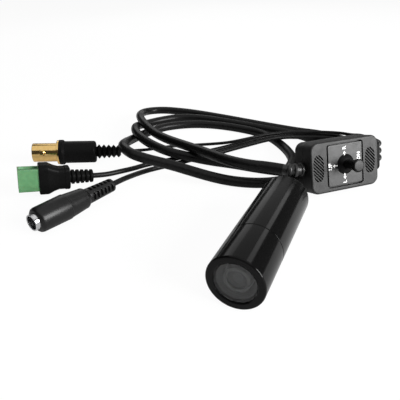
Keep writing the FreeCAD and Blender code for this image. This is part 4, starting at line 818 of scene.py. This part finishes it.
# Pale floor that glows white for the camera and faintly in reflections, still taking the shadow
floor = {"corners": ((-4, -3, 0), (4, -3, 0), (4, 5, 0), (-4, 5, 0)), "paper": (0.68, 0.68, 0.68, 1), "glow": 1.05,
         "cameraShare": 0.9, "mirrorShare": 0.1}
floorMesh = bpy.data.meshes.new("studioFloor")
floorMesh.from_pydata(floor["corners"], [], [(0, 1, 2, 3)])
studioFloor = bpy.data.objects.new("studioFloor", floorMesh)
linkObject(studioFloor)
floorLook = bpy.data.materials.new("floorPaper")
floorLook.use_nodes = True
floorTree = floorLook.node_tree
floorTree.nodes.clear()
floorOut = floorTree.nodes.new("ShaderNodeOutputMaterial")
paper = floorTree.nodes.new("ShaderNodeBsdfDiffuse")
paper.inputs["Color"].default_value = floor["paper"]
glow = floorTree.nodes.new("ShaderNodeEmission")
glow.inputs["Strength"].default_value = floor["glow"]
rays = floorTree.nodes.new("ShaderNodeLightPath")


def floorMath(operation, first, second):
    step = floorTree.nodes.new("ShaderNodeMath")
    step.operation = operation
    floorTree.links.new(first, step.inputs[0])
    if isinstance(second, float):
        step.inputs[1].default_value = second
    else:
        floorTree.links.new(second, step.inputs[1])
    return step.outputs[0]


mirrored = floorMath("MAXIMUM", rays.outputs["Is Glossy Ray"], rays.outputs["Is Transmission Ray"])
byCamera = floorMath("MULTIPLY", rays.outputs["Is Camera Ray"], floor["cameraShare"])
byMirror = floorMath("MULTIPLY", mirrored, floor["mirrorShare"])
seen = floorMath("MAXIMUM", byCamera, byMirror)
blend = floorTree.nodes.new("ShaderNodeMixShader")
floorTree.links.new(seen, blend.inputs["Fac"])
floorTree.links.new(paper.outputs[0], blend.inputs[1])
floorTree.links.new(glow.outputs[0], blend.inputs[2])
floorTree.links.new(blend.outputs[0], floorOut.inputs["Surface"])
floorMesh.materials.append(floorLook)

# A dim room, raised to white for the camera
roomLight = {"dim": 0.05, "raised": 0.95}
room = bpy.data.worlds.new("room")
room.use_nodes = True
roomTree = room.node_tree
backdrop = roomTree.nodes["Background"]
backdrop.inputs["Color"].default_value = (1, 1, 1, 1)
roomRays = roomTree.nodes.new("ShaderNodeLightPath")
roomSeen = roomTree.nodes.new("ShaderNodeMath")
roomSeen.operation = "MULTIPLY_ADD"
roomSeen.inputs[1].default_value = roomLight["raised"]
roomSeen.inputs[2].default_value = roomLight["dim"]
roomTree.links.new(roomRays.outputs["Is Camera Ray"], roomSeen.inputs[0])
roomTree.links.new(roomSeen.outputs[0], backdrop.inputs["Strength"])
bpy.context.scene.world = room


# Studio lamps: a key from the right, a weak lamp from the far left and a broad fill from above
def addLamp(name, lamp, location, rotation):
    glowing = bpy.data.lights.new(name, "AREA")
    glowing.shape = "RECTANGLE"
    glowing.size, glowing.size_y = lamp["size"]
    glowing.energy = lamp["power"]
    holder = bpy.data.objects.new(name, glowing)
    holder.location = location
    holder.rotation_euler = rotation
    linkObject(holder)


lamps = {
    "keyRight": {"place": (0.73, -0.03, 0.30), "aim": (0.0, 0.04, 0.01), "size": (0.54, 0.42), "power": 12.0},
    "sideLeft": {"place": (-0.62, 0.56, 0.58), "aim": (-0.1, 0.03, 0.0), "size": (0.26, 0.46), "power": 0.25},
    "fillTop": {"place": (-0.02, -0.10, 0.85), "aim": (-0.02, 0.04, 0.0), "size": (1.2, 1.2), "power": 3.5},
}
for name, lamp in lamps.items():
    facing = Vector(lamp["aim"]) - Vector(lamp["place"])
    addLamp(name, lamp, lamp["place"], facing.to_track_quat("-Z", "Y").to_euler())

# Three strips parallel to the tube, each turned about its axis, so that their stripes on it run straight
strips = {
    "bankBack": {"turn": 102.0, "away": 0.52, "along": 0.80, "size": (0.485, 0.85), "power": 0.68},
    "lineBack": {"turn": 66.3, "away": 0.60, "along": 0.83, "size": (0.185, 0.80), "power": 0.88},
    "bankLeft": {"turn": 143.5, "away": 0.60, "along": 0.84, "size": (0.33, 0.90), "power": 0.98},
}
tubeHeight = tube["origin"][2] * mm
for name, strip in strips.items():
    turn = math.radians(strip["turn"])
    stripSpot = (strip["away"] * math.cos(turn), strip["along"], tubeHeight + strip["away"] * math.sin(turn))
    addLamp(name, strip, stripSpot, (0, math.pi / 2 - turn, 0))
print("studio set")
